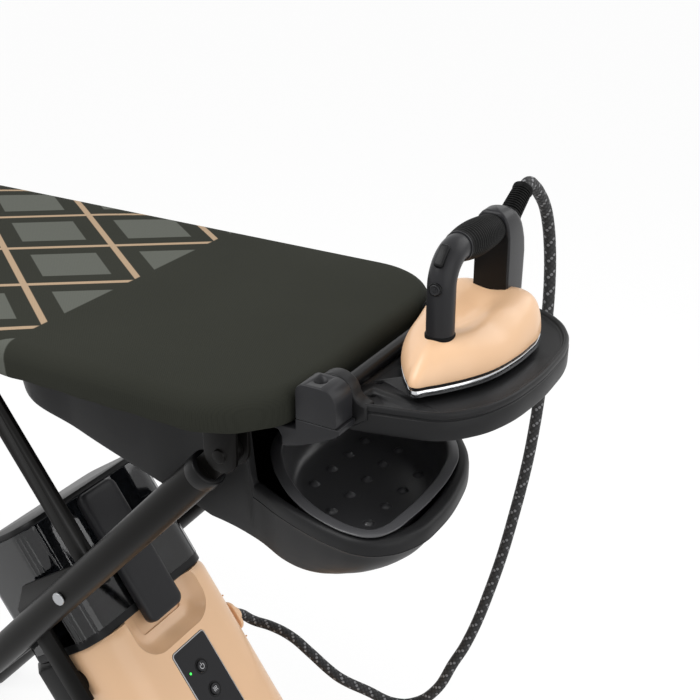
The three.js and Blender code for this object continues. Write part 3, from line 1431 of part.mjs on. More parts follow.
function buildIron() {
  const outline = soleOutline();
  const sole = loft([
    ringAt(inset(outline, GASKET_INSET), SOLE_STAND),
    ringAt(outline, SOLE_STAND + GASKET_INSET / 2),
    ringAt(outline, SOLE_STAND + SOLE_THICK),
  ]);
  const gasketTop = SOLE_STAND + SOLE_THICK + GASKET_THICK;
  const shield = slab(inset(outline, GASKET_INSET), SOLE_STAND + SOLE_THICK / 2, gasketTop);
  add(iron, "soleplate", join(sole, shield), chrome);

  const shellLow = gasketTop + SHELL_LIFT;
  const middleY = (IRON_NOSE_Y + IRON_HEEL_Y) / 2;
  const height = (y) => {
    const share = THREE.MathUtils.smoothstep(y, IRON_NOSE_Y, IRON_HEEL_Y);
    return IRON_NOSE_HEIGHT + (IRON_HEEL_HEIGHT - IRON_NOSE_HEIGHT) * share;
  };
  const domeShares = [
    [1, 0],
    [0.99, 0.24],
    [0.95, 0.5],
    [0.87, 0.74],
    [0.74, 0.9],
    [0.52, 0.97],
    [0.2, 1],
  ];
  const dome = loft(
    domeShares.map(([across, up]) =>
      outline.map((p) => {
        const y = middleY + (p.y - middleY) * across;
        return new THREE.Vector3(p.x * across, y, shellLow + height(y) * up);
      }),
    ),
  );
  const heelOuter = heelPoints(GAP);
  const heelRoom = sidePrism(heelOuter, -HEEL_HALF - GAP, HEEL_HALF + GAP);
  const postEnds = [POST_ROOT, GRIP_AXIS_Z].map((z) => [0, POST_Y, z]);
  const postRoom = rod(...postEnds, POST_RADIUS + GAP);
  add(iron, "iron_shell", cut(dome, heelRoom, postRoom), tan);
  add(iron, "handle_heel", sidePrism(heelPoints(0), -HEEL_HALF, HEEL_HALF), darkPlastic);
}

// Side outline of the block that carries the handle's rear end, grown by a margin
function heelPoints(margin) {
  const backDirection = strainDirection();
  const start = strainStart();
  const half = STRAIN_BIG_RADIUS;
  const corner = (sign) => [start.y - sign * backDirection.z * half, start.z + sign * backDirection.y * half];
  const grip = GRIP_AXIS_Z - GRIP_RADIUS - GRIP_SWELL - GRIP_BACK_DROP;
  const points = [
    [HEEL_FRONT_Y, HEEL_ROOT],
    [HEEL_BACK_Y, HEEL_ROOT],
    [HEEL_BACK_Y + OVERRUN, (HEEL_ROOT + GRIP_AXIS_Z) / 2],
    corner(-1),
    corner(1),
    [start.y - half * 2, GRIP_AXIS_Z + POST_RADIUS],
    [GRIP_END_Y + GAP + OVERRUN * 2, GRIP_AXIS_Z + POST_RADIUS - OVERRUN],
    [GRIP_END_Y + GAP, GRIP_AXIS_Z + POST_RADIUS / 2],
    [GRIP_END_Y + GAP, grip],
    [HEEL_FRONT_Y, grip - OVERRUN],
  ].map(([y, z]) => new THREE.Vector2(y, z));
  return inset(points, -margin).map((p) => [p.x, p.y]);
}

const strainDirection = () =>
  new THREE.Vector3(0, Math.cos(degrees(STRAIN_ANGLE)), Math.sin(degrees(STRAIN_ANGLE)));
const strainStart = () => new THREE.Vector3(0, HEEL_BACK_Y - STRAIN_BIG_RADIUS, GRIP_AXIS_Z - OVERRUN * 2);

function buildHandle() {
  const riseTop = GRIP_AXIS_Z - ELBOW_RADIUS;
  const path = new THREE.CurvePath();
  const bottom = new THREE.Vector3(0, POST_Y, POST_ROOT + GAP);
  const bendStart = new THREE.Vector3(0, POST_Y, riseTop);
  const bendEnd = new THREE.Vector3(0, POST_Y + ELBOW_RADIUS, GRIP_AXIS_Z);
  const bendCorner = new THREE.Vector3(0, POST_Y, GRIP_AXIS_Z);
  const front = new THREE.Vector3(0, GRIP_START_Y - GAP, GRIP_AXIS_Z);
  path.add(new THREE.LineCurve3(bottom, bendStart));
  path.add(new THREE.QuadraticBezierCurve3(bendStart, bendCorner, bendEnd));
  path.add(new THREE.LineCurve3(bendEnd, front));
  const neck = tube(path, POST_RADIUS, 16, 16);
  const coreStart = [0, GRIP_START_Y - POST_RADIUS, GRIP_AXIS_Z];
  const coreEnd = [0, GRIP_END_Y - OVERRUN / 2, GRIP_AXIS_Z - GRIP_BACK_DROP];
  const core = rod(coreStart, coreEnd, GRIP_CORE_RADIUS, GRIP_CORE_RADIUS, 16);

  // Rooms for the three keys on the neck
  const keyZ = STEAM_KEY_Z;
  const frontY = POST_Y - POST_RADIUS;
  const keyRod = (radius, sink, proud) =>
    rod([0, frontY - proud, keyZ], [0, frontY + sink, keyZ], radius, radius, 14);
  const keyRoom = keyRod(STEAM_KEY_RADIUS + GAP, STEAM_KEY_SINK + OVERRUN, OVERRUN * 2);
  const bendKey = (half, long, sink, proud) => {
    const box = block(-half, half, -long, long, -sink, proud);
    box.rotateX(Math.PI / 4);
    const centre = new THREE.Vector3(0, POST_Y + ELBOW_RADIUS, riseTop);
    const reach = ELBOW_RADIUS * BEND_SHARE + POST_RADIUS;
    const out = new THREE.Vector3(0, -Math.SQRT1_2, Math.SQRT1_2).multiplyScalar(reach);
    return box.translate(0, centre.y + out.y, centre.z + out.z);
  };
  const thumbHalf = TRIGGER_WIDTH / 2;
  const thumbLong = TRIGGER_LENGTH / 2;
  const thumbRoom = bendKey(thumbHalf + GAP, thumbLong + GAP, STEAM_KEY_SINK + OVERRUN, OVERRUN * 3);
  const triggerBox = (grow, sink, proud) => {
    const half = thumbHalf + grow;
    const long = TRIGGER_LENGTH / 3 + grow;
    const box = block(-half, half, -long, long, -proud, sink);
    box.rotateX(Math.PI / 4);
    const centre = new THREE.Vector3(0, POST_Y + ELBOW_RADIUS, riseTop);
    const reach = ELBOW_RADIUS * BEND_SHARE - POST_RADIUS;
    const out = new THREE.Vector3(0, -Math.SQRT1_2, Math.SQRT1_2).multiplyScalar(reach);
    return box.translate(0, centre.y + out.y, centre.z + out.z);
  };
  const triggerRoom = triggerBox(GAP, TRIGGER_THICK + OVERRUN, TRIGGER_THICK);
  const rooms = [keyRoom, thumbRoom, triggerRoom];
  add(iron, "handle", cut(join(neck, core), ...rooms), darkPlastic);
  add(iron, "steam_key", keyRod(STEAM_KEY_RADIUS, STEAM_KEY_SINK, STEAM_KEY_PROUD), midPlastic);
  add(iron, "thumb_key", bendKey(thumbHalf, thumbLong, STEAM_KEY_SINK, STEAM_KEY_PROUD), midPlastic);
  add(iron, "steam_trigger", triggerBox(0, TRIGGER_THICK / 2, TRIGGER_THICK / 2), midPlastic);

  // Rubber sleeve round the core, swollen in the middle
  const sleeveStart = GRIP_START_Y + OVERRUN / 2;
  const length = GRIP_END_Y - sleeveStart - OVERRUN;
  const inner = GRIP_CORE_RADIUS + GAP;
  const swell = [0, 0.75, 1, 0.75, 0];
  const profile = [[inner, 0]];
  swell.forEach((share, i) => {
    profile.push([GRIP_RADIUS + GRIP_SWELL * share, (length * i) / (swell.length - 1)]);
  });
  profile.push([inner, length], [inner, 0]);
  const sleeve = new THREE.LatheGeometry(profile.map(([r, y]) => new THREE.Vector2(r, y)), 16);
  const slope = GRIP_BACK_DROP / (coreEnd[1] - coreStart[1]);
  const drop = slope * (sleeveStart - coreStart[1]);
  sleeve.rotateX(-Math.atan(slope)).translate(0, sleeveStart, GRIP_AXIS_Z - drop);
  add(iron, "grip_sleeve", sleeve, rubber);

  const from = strainStart().addScaledVector(strainDirection(), GAP);
  const to = strainStart().addScaledVector(strainDirection(), STRAIN_LENGTH);
  const relief = rod(from.toArray(), to.toArray(), STRAIN_BIG_RADIUS - OVERRUN, STRAIN_SMALL_RADIUS, 14);
  add(iron, "hose_relief", relief, rubber);
}
buildIron();
buildHandle();

// Steam hose from the iron's strain relief to the generator's socket, hanging in a loop
function buildHose() {
  const hoseShares = [
    [0.128, 0.287, 0.201],
    [0.128, 0.315, 0.188],
    [0.128, 0.342, 0.167],
    [0.128, 0.371, 0.139],
    [0.128, 0.393, 0.103],
    [0.128, 0.41, 0.055],
    [0.128, 0.423, -0.008],
    [0.128, 0.426, -0.079],
    [0.12, 0.426, -0.314],
    [0.095, 0.41, -0.53],
    [0.065, 0.379, -0.703],
    [0.032, 0.347, -0.836],
    [0.013, 0.331, -0.882],
    [-0.019, 0.311, -0.956],
    [-0.055, 0.293, -0.991],
    [-0.098, 0.278, -1],
    [-0.158, 0.26, -0.979],
    [-0.214, 0.24, -0.953],
    [-0.24, 0.24, -0.944],
    [-0.292, 0.244, -0.921],
    [-0.345, 0.249, -0.901],
    [-0.397, 0.249, -0.893],
    [-0.441, 0.237, -0.884],
    [-0.456, 0.222, -0.866],
  ];
  boardFrame.updateMatrixWorld(true);
  const inBoard = (frame, x, y, z) => boardFrame.worldToLocal(frame.localToWorld(new THREE.Vector3(x, y, z)));
  const exit = strainStart().addScaledVector(strainDirection(), STRAIN_LENGTH + GAP);
  const start = inBoard(iron, exit.x, exit.y, exit.z);
  const end = inBoard(legB, OUTLET_ALONG, CASE_HALF_WIDTH + OUTLET_LENGTH + GAP, OUTLET_HEIGHT);
  const between = hoseShares.map((share) => new THREE.Vector3(...share).multiplyScalar(HOSE_DROP));
  const route = new THREE.CatmullRomCurve3([start, ...between, end], false, "centripetal");
  const count = Math.round(route.getLength() / HOSE_STEP);
  const points = route.getSpacedPoints(count);
  const stretchShares = [
    ["hose_upper", 0, 0.14],
    ["hose_drop", 0.14, 0.42],
    ["hose_loop", 0.42, 0.7],
    ["hose_lower", 0.7, 1],
  ];
  // The hose leaves each end square to what it meets
  const headingAt = (at) => {
    if (at === 0) return strainDirection();
    if (at === count) return new THREE.Vector3(0, -1, 0);
    return points[at + 1].clone().sub(points[at - 1]).normalize();
  };
  for (const [name, from, to] of stretchShares) {
    const first = Math.round(count * from);
    const last = Math.round(count * to);
    const run = points.slice(first + 1, last);
    const headings = [headingAt(first), headingAt(last)];
    const near = (at, heading, distance) => points[at].clone().addScaledVector(heading, distance);
    const trims = [first > 0 ? GAP / 2 : 0, last < count ? GAP / 2 : 0];
    run.unshift(near(first, headings[0], trims[0]), near(first, headings[0], HOSE_RADIUS));
    run.push(near(last, headings[1], -HOSE_RADIUS), near(last, headings[1], -trims[1]));
    const path = new THREE.CatmullRomCurve3(run, false, "centripetal");
    add(boardFrame, name, tube(path, HOSE_RADIUS, last - first, HOSE_SIDES), rubber);
  }
}
buildHose();

export default table;
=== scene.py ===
# %% [markdown]
# # A vacuum ironing table with its steam iron, in Blender
#
# The real table is a padded board on crossed legs. A fan under it sucks the steam through the cloth,
# a steam generator on wheels makes up one pair of legs, and a steam iron stands on a folding rest.
# The CAD model gives every piece its place and size. This lesson gives each piece its surface,
# and replaces the plain CAD solids that show most by finer meshes in the same place.

# %% Load the CAD frame
import json
import math

import bmesh
import bpy
from mathutils import Matrix, Vector

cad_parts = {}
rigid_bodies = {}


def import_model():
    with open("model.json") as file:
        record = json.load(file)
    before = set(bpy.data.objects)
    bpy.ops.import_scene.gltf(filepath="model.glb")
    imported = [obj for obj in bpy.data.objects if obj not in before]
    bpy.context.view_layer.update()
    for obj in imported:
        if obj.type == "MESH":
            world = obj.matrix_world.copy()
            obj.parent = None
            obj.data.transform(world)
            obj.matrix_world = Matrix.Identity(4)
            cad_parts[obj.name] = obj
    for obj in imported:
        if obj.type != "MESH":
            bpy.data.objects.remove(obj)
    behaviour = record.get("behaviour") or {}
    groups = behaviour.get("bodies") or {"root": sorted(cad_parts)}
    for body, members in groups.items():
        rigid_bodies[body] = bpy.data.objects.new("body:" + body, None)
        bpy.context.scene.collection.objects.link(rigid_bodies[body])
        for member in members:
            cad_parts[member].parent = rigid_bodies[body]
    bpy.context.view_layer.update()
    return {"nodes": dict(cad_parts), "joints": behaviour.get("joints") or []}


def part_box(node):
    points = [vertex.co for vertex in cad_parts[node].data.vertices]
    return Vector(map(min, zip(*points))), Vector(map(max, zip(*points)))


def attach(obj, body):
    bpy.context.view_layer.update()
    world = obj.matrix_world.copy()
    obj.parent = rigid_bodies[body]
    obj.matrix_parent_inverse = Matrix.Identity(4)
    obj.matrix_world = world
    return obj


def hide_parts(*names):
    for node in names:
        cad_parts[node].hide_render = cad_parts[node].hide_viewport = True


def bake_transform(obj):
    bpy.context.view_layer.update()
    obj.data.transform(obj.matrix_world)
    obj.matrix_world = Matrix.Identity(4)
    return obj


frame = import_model()
nodes = frame["nodes"]
joints = {joint["name"]: joint for joint in frame["joints"]}
print("CAD nodes:", len(nodes), "joints:", len(joints))

# %% [markdown]
# ## Four local frames, in millimetres
#
# A maker measures each assembly from its own corner: the board from its end and top, the generator
# along its housing from the pivot where the legs cross, the legs down from their hinge, and the iron
# from the middle of its sole. Each frame is a matrix that takes millimetres to the scene's metres.

# %% Frames of the board, the legs, the generator and the iron
MM = 0.001
COVER_SETBACK = 6
SOLE_STAND = 5
TO_METRES = Matrix.Scale(MM, 4)


def frame_of(origin, x_axis=(1, 0, 0), z_axis=(0, 0, 1)):
    """The matrix that takes millimetres in a turned frame to metres in the scene."""
    x, z = Vector(x_axis), Vector(z_axis)
    turned = Matrix((x, z.cross(x), z)).transposed().to_4x4()
    return Matrix.Translation(origin) @ turned @ TO_METRES


cover_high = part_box("board_cover")[1]
sole_low, sole_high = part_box("soleplate")
fold_pivot = Vector(joints["fold"]["pos_m"])
crossing = Vector(joints["crossing"]["pos_m"])
down_the_leg = (crossing - fold_pivot).normalized()
down_the_housing = -Vector(joints["tank_pull"]["axis"]).normalized()
off_the_face = -Vector(joints["power_press"]["axis"]).normalized()

BOARD = frame_of((cover_high.x + COVER_SETBACK * MM, 0, cover_high.z))
IRON = frame_of(((sole_low.x + sole_high.x) / 2, 0, sole_low.z - SOLE_STAND * MM))
CASE = frame_of(crossing, down_the_housing, off_the_face)
LEG = frame_of(fold_pivot, Vector((0, 1, 0)).cross(-down_the_leg), -down_the_leg)
print("board frame at", [round(x, 4) for x in BOARD.translation])

# %% [markdown]
# ## The photograph's camera
#
# The photograph looks down at the iron's end of the board from the front right. A lens of 61 mm
# on a 36 mm sensor gives its perspective, and the camera stands a metre in front of the rest.

# %% Camera
CAMERA_PLACE = (533, -961, 494)
CAMERA_LENS = 61.1
CAMERA_AZIMUTH = math.radians(30.4)
CAMERA_ELEVATION = math.radians(24.8)


def linked(name, data):
    """A new object in the scene."""
    made = bpy.data.objects.new(name, data)
    bpy.context.scene.collection.objects.link(made)
    return made


camera = linked("photo_camera", bpy.data.cameras.new("photo_camera"))
camera.data.lens = CAMERA_LENS
camera.location = BOARD @ Vector(CAMERA_PLACE)
camera.rotation_euler = (math.pi / 2 - CAMERA_ELEVATION, 0, CAMERA_AZIMUTH)
bpy.context.scene.camera = camera
bpy.context.scene.view_settings.view_transform = "Standard"
print("camera at", [round(x, 3) for x in camera.location])

# %% [markdown]
# ## Shader helpers and shared effects
#
# Each finish is a Principled BSDF. What several finishes share is a node group with named sockets:
# the fine grain of moulded plastic, a slow drift of tone, and the paler wear along edges.

# %% Helpers that add one node and its links in one line
def add_node(tree, kind, inputs=None, **settings):
    node = tree.nodes.new("ShaderNode" + kind)
    for name, value in settings.items():
        setattr(node, name, value)
    for key, value in (inputs or {}).items():
        if isinstance(value, bpy.types.NodeSocket):
            tree.links.new(value, node.inputs[key])
        else:
            node.inputs[key].default_value = value
    return node


def maths(tree, operation, first, second=None):
    """One Math node; its result."""
    inputs = {0: first} if second is None else {0: first, 1: second}
    return add_node(tree, "Math", inputs, operation=operation).outputs[0]


def mixed(tree, factor, first, second):
    """Two colours mixed by a factor."""
    node = add_node(tree, "Mix", {0: factor, 6: first, 7: second}, data_type="RGBA")
    return node.outputs[2]


def ranged(tree, value, low, high):
    """A value from 0 to 1, spread from low to high."""
    return add_node(tree, "MapRange", {0: value, 3: low, 4: high}).outputs[0]


def object_place(tree):
    return add_node(tree, "TexCoord").outputs["Object"]


def effect_group(name, sockets_in, sockets_out):
    """An empty node group with float sockets; its tree, input node and output node."""
    tree = bpy.data.node_groups.new(name, "ShaderNodeTree")
    for socket, value in sockets_in.items():
        made = tree.interface.new_socket(socket, in_out="INPUT", socket_type="NodeSocketFloat")
        made.default_value = value
    for socket in sockets_out:
        tree.interface.new_socket(socket, in_out="OUTPUT", socket_type="NodeSocketFloat")
    return tree, tree.nodes.new("NodeGroupInput"), tree.nodes.new("NodeGroupOutput")


def use_group(tree, group, **values):
    node = tree.nodes.new("ShaderNodeGroup")
    node.node_tree = group
    for socket, value in values.items():
        node.inputs[socket].default_value = value
    return node


# %% [markdown]
# ## Fine grain
#
# A moulded part takes its fine grain from the mould. The group returns the grain's height, and a slow
# drift that varies tone and gloss over the surface.

# %% Group: fine grain of a spark-eroded mould
grain, given, result = effect_group("mould_grain", {"Size": 0.6}, ["Height", "Drift"])
place = object_place(grain)
frequency = maths(grain, "DIVIDE", 1000.0, given.outputs["Size"])
fine = add_node(grain, "TexNoise", {"Vector": place, "Scale": frequency, "Detail": 2.0})
slow = add_node(grain, "TexNoise", {"Vector": place, "Scale": 9.0, "Detail": 3.0})
grain.links.new(fine.outputs["Fac"], result.inputs["Height"])
grain.links.new(slow.outputs["Fac"], result.inputs["Drift"])

# %% [markdown]
# ## Wear along edges
#
# Edges are rubbed first when a table is used. A bevel node rounds the normal near an edge, so wherever
# it leaves the true normal there is an edge to make paler.

# %% Group: wear along edges, where the rounded normal leaves the true one
wear, given, result = effect_group("edge_wear", {"Width": 0.8, "Amount": 1.0}, ["Edge"])
radius = maths(wear, "MULTIPLY", given.outputs["Width"], MM)
rounded = add_node(wear, "Bevel", {"Radius": radius}, samples=4)
true_normal = add_node(wear, "NewGeometry").outputs["Normal"]
alike = add_node(wear, "VectorMath", {0: rounded.outputs[0], 1: true_normal}, operation="DOT_PRODUCT")
leaving = maths(wear, "SUBTRACT", 1.0, alike.outputs["Value"])
patchy = add_node(wear, "TexNoise", {"Vector": object_place(wear), "Scale": 60.0, "Detail": 4.0})
rubbed = maths(wear, "MULTIPLY", leaving, maths(wear, "MULTIPLY", patchy.outputs["Fac"], 6.0))
edge = add_node(
    wear, "Math", {0: rubbed, 1: given.outputs["Amount"]}, operation="MULTIPLY", use_clamp=True
)
wear.links.new(edge.outputs[0], result.inputs["Edge"])
print("shared effects:", [group.name for group in bpy.data.node_groups])


# %% [markdown]
# ## Hard finishes
#
# Moulded plastic, powder paint and rubber differ in colour, gloss and grain, so one function makes
# them all. The tone drifts a little over the surface and the edges rub paler. A colour is written
# as the eye names it, from 0 to 255, and turned to linear light.

# %% One function for moulded, painted and rubber finishes
FINISH = "_finish"
DARKEST = 0.86
GLOSS_DRIFT = 0.04


def linear(red, green, blue):
    channels = [value / 255 for value in (red, green, blue)]
    return [*(((c + 0.055) / 1.055) ** 2.4 if c > 0.04 else c / 12.92 for c in channels), 1.0]


def new_material(name, **plain):
    material = bpy.data.materials.new(name + FINISH)
    material.use_nodes = True
    shader = material.node_tree.nodes["Principled BSDF"]
    for socket, value in plain.items():
        shader.inputs[socket.replace("_", " ")].default_value = value
    return material, material.node_tree, shader


def wire(tree, shader, tone, rough, height=None, depth=0.0, strength=1.0):
    """Links a finish's colour and roughness, and its relief in millimetres, to the shader."""
    tree.links.new(tone, shader.inputs["Base Color"])
    tree.links.new(rough, shader.inputs["Roughness"])
    if height is not None:
        relief = {"Height": height, "Distance": depth * MM, "Strength": strength}
        tree.links.new(add_node(tree, "Bump", relief).outputs["Normal"], shader.inputs["Normal"])


def hard_finish(name, colour, worn, gloss, size=0.6, depth=0.02, amount=0.35, **plain):
    material, tree, shader = new_material(name, **plain)
    detail = use_group(tree, grain, Size=size)
    edges = use_group(tree, wear, Amount=amount)
    darker = [*(value * DARKEST for value in colour[:3]), 1.0]
    drifting = mixed(tree, detail.outputs["Drift"], colour, darker)
    tone = mixed(tree, edges.outputs["Edge"], drifting, worn)
    rough = ranged(tree, detail.outputs["Drift"], gloss - GLOSS_DRIFT, gloss + GLOSS_DRIFT)
    wire(tree, shader, tone, rough, detail.outputs["Height"], depth)
    return material


# %% [markdown]
# ## The hard finishes of this table
#
# Each finish is one call with its colour, the paler colour of its worn edges and its gloss. Where the
# photograph shows a piece, its colour was tuned by comparing renders with it.

# %% The hard finishes of this table
DULL = {"Specular_IOR_Level": 0.18}
FLAT = {"Specular_IOR_Level": 0.1}
charcoal_plastic = hard_finish(
    "charcoal_plastic", linear(28, 28, 29), linear(54, 54, 55), 0.42, depth=0.04, **DULL
)
tray_plastic = hard_finish("tray_plastic", linear(72, 72, 74), linear(96, 96, 98), 0.3, depth=0.03)
grey_plastic = hard_finish("grey_plastic", linear(38, 38, 40), linear(70, 70, 72), 0.34, depth=0.03, **DULL)
black_plastic = hard_finish("black_plastic", linear(14, 14, 15), linear(42, 42, 44), 0.38, depth=0.03, **DULL)
black_paint = hard_finish(
    "black_paint", linear(14, 13, 12), linear(38, 37, 35), 0.36, size=1.4, depth=0.05, **FLAT
)
black_rubber = hard_finish(
    "black_rubber", linear(12, 12, 12), linear(30, 30, 30), 0.55, size=1.2, depth=0.06, **FLAT
)
tan_shell = hard_finish(
    "tan_shell", linear(238, 195, 154), linear(246, 216, 184), 0.37, depth=0.008, amount=0.2, Coat_Weight=0.15
)
circuit_green = hard_finish("circuit_green", linear(36, 96, 58), linear(80, 130, 96), 0.4, amount=0.2)
print("hard finishes:", len(bpy.data.materials))

# %% [markdown]
# ## Metals, clear plastic and lamps
#
# Bare steel is brushed one way, so its roughness is stretched noise. The sole's rim is polished.
# The water tank is a smoky clear plastic: real transmission through its walls, with sharp
# reflections on its ribs.

# %% Metal and clear finishes
plain_steel, tree, shader = new_material("plain_steel", Metallic=1.0)
stretched = add_node(tree, "Mapping", {"Vector": object_place(tree), "Scale": (40.0, 900.0, 40.0)})
brushed = add_node(tree, "TexNoise", {"Vector": stretched.outputs[0], "Scale": 1.0, "Detail": 4.0})
steel_tone = mixed(tree, brushed.outputs["Fac"], linear(150, 152, 155), linear(186, 188, 190))
wire(tree, shader, steel_tone, ranged(tree, brushed.outputs["Fac"], 0.26, 0.44))

bright_chrome, tree, shader = new_material("bright_chrome", Metallic=1.0)
smears = add_node(tree, "TexNoise", {"Vector": object_place(tree), "Scale": 35.0, "Detail": 3.0})
chrome_tone = mixed(tree, smears.outputs["Fac"], linear(196, 198, 202), linear(216, 217, 219))
wire(tree, shader, chrome_tone, ranged(tree, smears.outputs["Fac"], 0.1, 0.2))

clear_plastic, tree, shader = new_material(
    "clear_plastic", Base_Color=linear(60, 62, 65), Transmission_Weight=1.0, IOR=1.49
)
scuffs = add_node(tree, "TexNoise", {"Vector": object_place(tree), "Scale": 14.0, "Detail": 5.0})
tree.links.new(ranged(tree, scuffs.outputs["Fac"], 0.01, 0.07), shader.inputs["Roughness"])

green_lamp, tree, shader = new_material("green_lamp", Roughness=0.25)
glow = add_node(tree, "LayerWeight", {"Blend": 0.4}).outputs["Facing"]
lamp_tone = mixed(tree, glow, linear(70, 255, 96), linear(10, 140, 40))
tree.links.new(lamp_tone, shader.inputs["Base Color"])
tree.links.new(lamp_tone, shader.inputs["Emission Color"])
shader.inputs["Emission Strength"].default_value = 1.2

pale_print = hard_finish("pale_print", linear(186, 186, 188), linear(206, 206, 208), 0.5, amount=0.1)
print("materials so far:", len(bpy.data.materials))

# %% [markdown]
# ## Cloth, felt and braid
#
# The cover is a tight plain weave: two crossed sets of threads, each a sine, lift the surface by
# turns. Its print is a plain lattice of lozenges crossed by thin lines, in place of the real print,
# and starts a hand's breadth from the end. The hose wears a braided sleeve whose pattern follows
# the hose through its UV map, counted in threads.

# %% Printed cover cloth
THREADS = 2600.0
LOZENGE_LONG = 0.21
LOZENGE_WIDE = 0.15
PRINT_START = 0.315
LOZENGE_EDGE = 0.3
LINE_EDGE = 0.47


def stepped(tree, value, edge, softness=0.004):
    """0 below an edge and 1 above it, with a soft printed border."""
    node = add_node(tree, "MapRange", {0: value, 1: edge - softness, 2: edge + softness})
    return node.outputs[0]


cover_cloth, tree, shader = new_material("cover_cloth", Specular_IOR_Level=0.04)
split = add_node(tree, "SeparateXYZ", {0: object_place(tree)})
across_x, across_y = split.outputs["X"], split.outputs["Y"]
warp = maths(tree, "SINE", maths(tree, "MULTIPLY", across_x, THREADS))
weft = maths(tree, "SINE", maths(tree, "MULTIPLY", across_y, THREADS))
thread_lift = maths(tree, "MULTIPLY", warp, weft)
long_way = maths(tree, "DIVIDE", across_x, LOZENGE_LONG)
cross_way = maths(tree, "DIVIDE", across_y, LOZENGE_WIDE)
lattice = []
for direction in ("ADD", "SUBTRACT"):
    slanted = maths(tree, direction, long_way, cross_way)
    lattice.append(maths(tree, "ABSOLUTE", maths(tree, "SUBTRACT", maths(tree, "FRACT", slanted), 0.5)))
inside = maths(tree, "MAXIMUM", *lattice)
outside = maths(tree, "MINIMUM", *lattice)
board_end = BOARD.translation.x
printed_area = stepped(tree, maths(tree, "MULTIPLY", across_x, -1.0), PRINT_START - board_end, 0.001)
grey_lozenge = maths(tree, "SUBTRACT", 1.0, stepped(tree, inside, LOZENGE_EDGE))
tan_line = stepped(tree, inside, LINE_EDGE)
drift = add_node(tree, "TexNoise", {"Vector": object_place(tree), "Scale": 5.0, "Detail": 4.0})
ground = mixed(tree, drift.outputs["Fac"], linear(49, 50, 44), linear(44, 45, 40))
with_grey = mixed(tree, maths(tree, "MULTIPLY", grey_lozenge, printed_area), ground, linear(90, 92, 86))
with_tan = mixed(tree, maths(tree, "MULTIPLY", tan_line, printed_area), with_grey, linear(168, 145, 120))
shade = ranged(tree, thread_lift, 0.0, 0.16)
shaded = mixed(tree, shade, with_tan, (0.0, 0.0, 0.0, 1.0))
wire(tree, shader, shaded, ranged(tree, drift.outputs["Fac"], 0.72, 0.86), thread_lift, 0.06, 0.6)

# %% [markdown]
# ## Felt
#
# Felt is pressed fibre without a weave, so one fine noise gives its tone, its gloss and its relief.
# A little sheen stands for the loose fibres on top.

# %% Felt under the cover
felt, tree, shader = new_material("felt", Sheen_Weight=0.3)
fibres = add_node(tree, "TexNoise", {"Vector": object_place(tree), "Scale": 900.0, "Detail": 6.0})
felt_tone = mixed(tree, fibres.outputs["Fac"], linear(128, 126, 120), linear(160, 157, 150))
felt_rough = ranged(tree, fibres.outputs["Fac"], 0.85, 1.0)
wire(tree, shader, felt_tone, felt_rough, fibres.outputs["Fac"], 0.4)

# %% [markdown]
# ## Braided sleeve
#
# The sleeve is plaited from two sets of strands that cross on a slant and lie on top by turns. The UV
# map counts the strands, and every third one is pale where it lies on top.

# %% Braided sleeve of the hose
BRAID_THREADS = 12
FLECK_EDGE = 0.45
hose_braid, tree, shader = new_material("hose_braid")
uv = add_node(tree, "SeparateXYZ", {0: add_node(tree, "TexCoord").outputs["UV"]})
around = maths(tree, "MULTIPLY", uv.outputs["Y"], float(BRAID_THREADS))
along = uv.outputs["X"]
one_way = maths(tree, "MULTIPLY", maths(tree, "ADD", around, along), 0.5)
other_way = maths(tree, "MULTIPLY", maths(tree, "SUBTRACT", around, along), 0.5)
lifts = []
for way in (one_way, other_way):
    lifts.append(maths(tree, "SINE", maths(tree, "MULTIPLY", maths(tree, "FRACT", way), math.pi)))
strand = maths(tree, "MULTIPLY", *lifts)
cells = [maths(tree, "FLOOR", way) for way in (one_way, other_way)]
over = maths(tree, "MODULO", maths(tree, "ABSOLUTE", maths(tree, "ADD", *cells)), 2.0)
flecks = []
for cell, turn in zip(cells, (0.0, 1.0)):
    third = maths(tree, "MODULO", maths(tree, "ABSOLUTE", cell), 3.0)
    flecked = maths(tree, "LESS_THAN", third, 0.5)
    showing = maths(tree, "COMPARE", over, turn)
    flecks.append(maths(tree, "MULTIPLY", flecked, showing))
raised = maths(tree, "GREATER_THAN", strand, FLECK_EDGE)
fleck = maths(tree, "MULTIPLY", maths(tree, "MAXIMUM", *flecks), raised)
braid_tone = mixed(tree, fleck, linear(20, 20, 21), linear(112, 112, 114))
wire(tree, shader, braid_tone, ranged(tree, strand, 0.75, 0.5), strand, 0.5)
print("all finishes:", len(bpy.data.materials))

# %% [markdown]
# ## From outlines to meshes
#
# Most housings are drawn as an outline that changes as it rises. A few helpers turn a loop of points
# into rings of edges, and extrude each ring to the next one, as one would in the editor.

# %% Smooth lines from a Bezier curve
LINE_STEPS = 16


def spaced(points, spacing, closed):
    """Points at equal steps along a line."""
    line = [Vector(p) for p in points]
    if closed:
        line.append(line[0])
    reach = [0.0]
    for before, after in zip(line, line[1:]):
        reach.append(reach[-1] + (after - before).length)
    count = max(2, round(reach[-1] / spacing))
    found, leg = [], 0
    for i in range(count if closed else count + 1):
        goal = reach[-1] * i / count
        while leg < len(line) - 2 and reach[leg + 1] < goal:
            leg += 1
        run = max(reach[leg + 1] - reach[leg], 1e-12)
        found.append(line[leg].lerp(line[leg + 1], (goal - reach[leg]) / run))
    return found


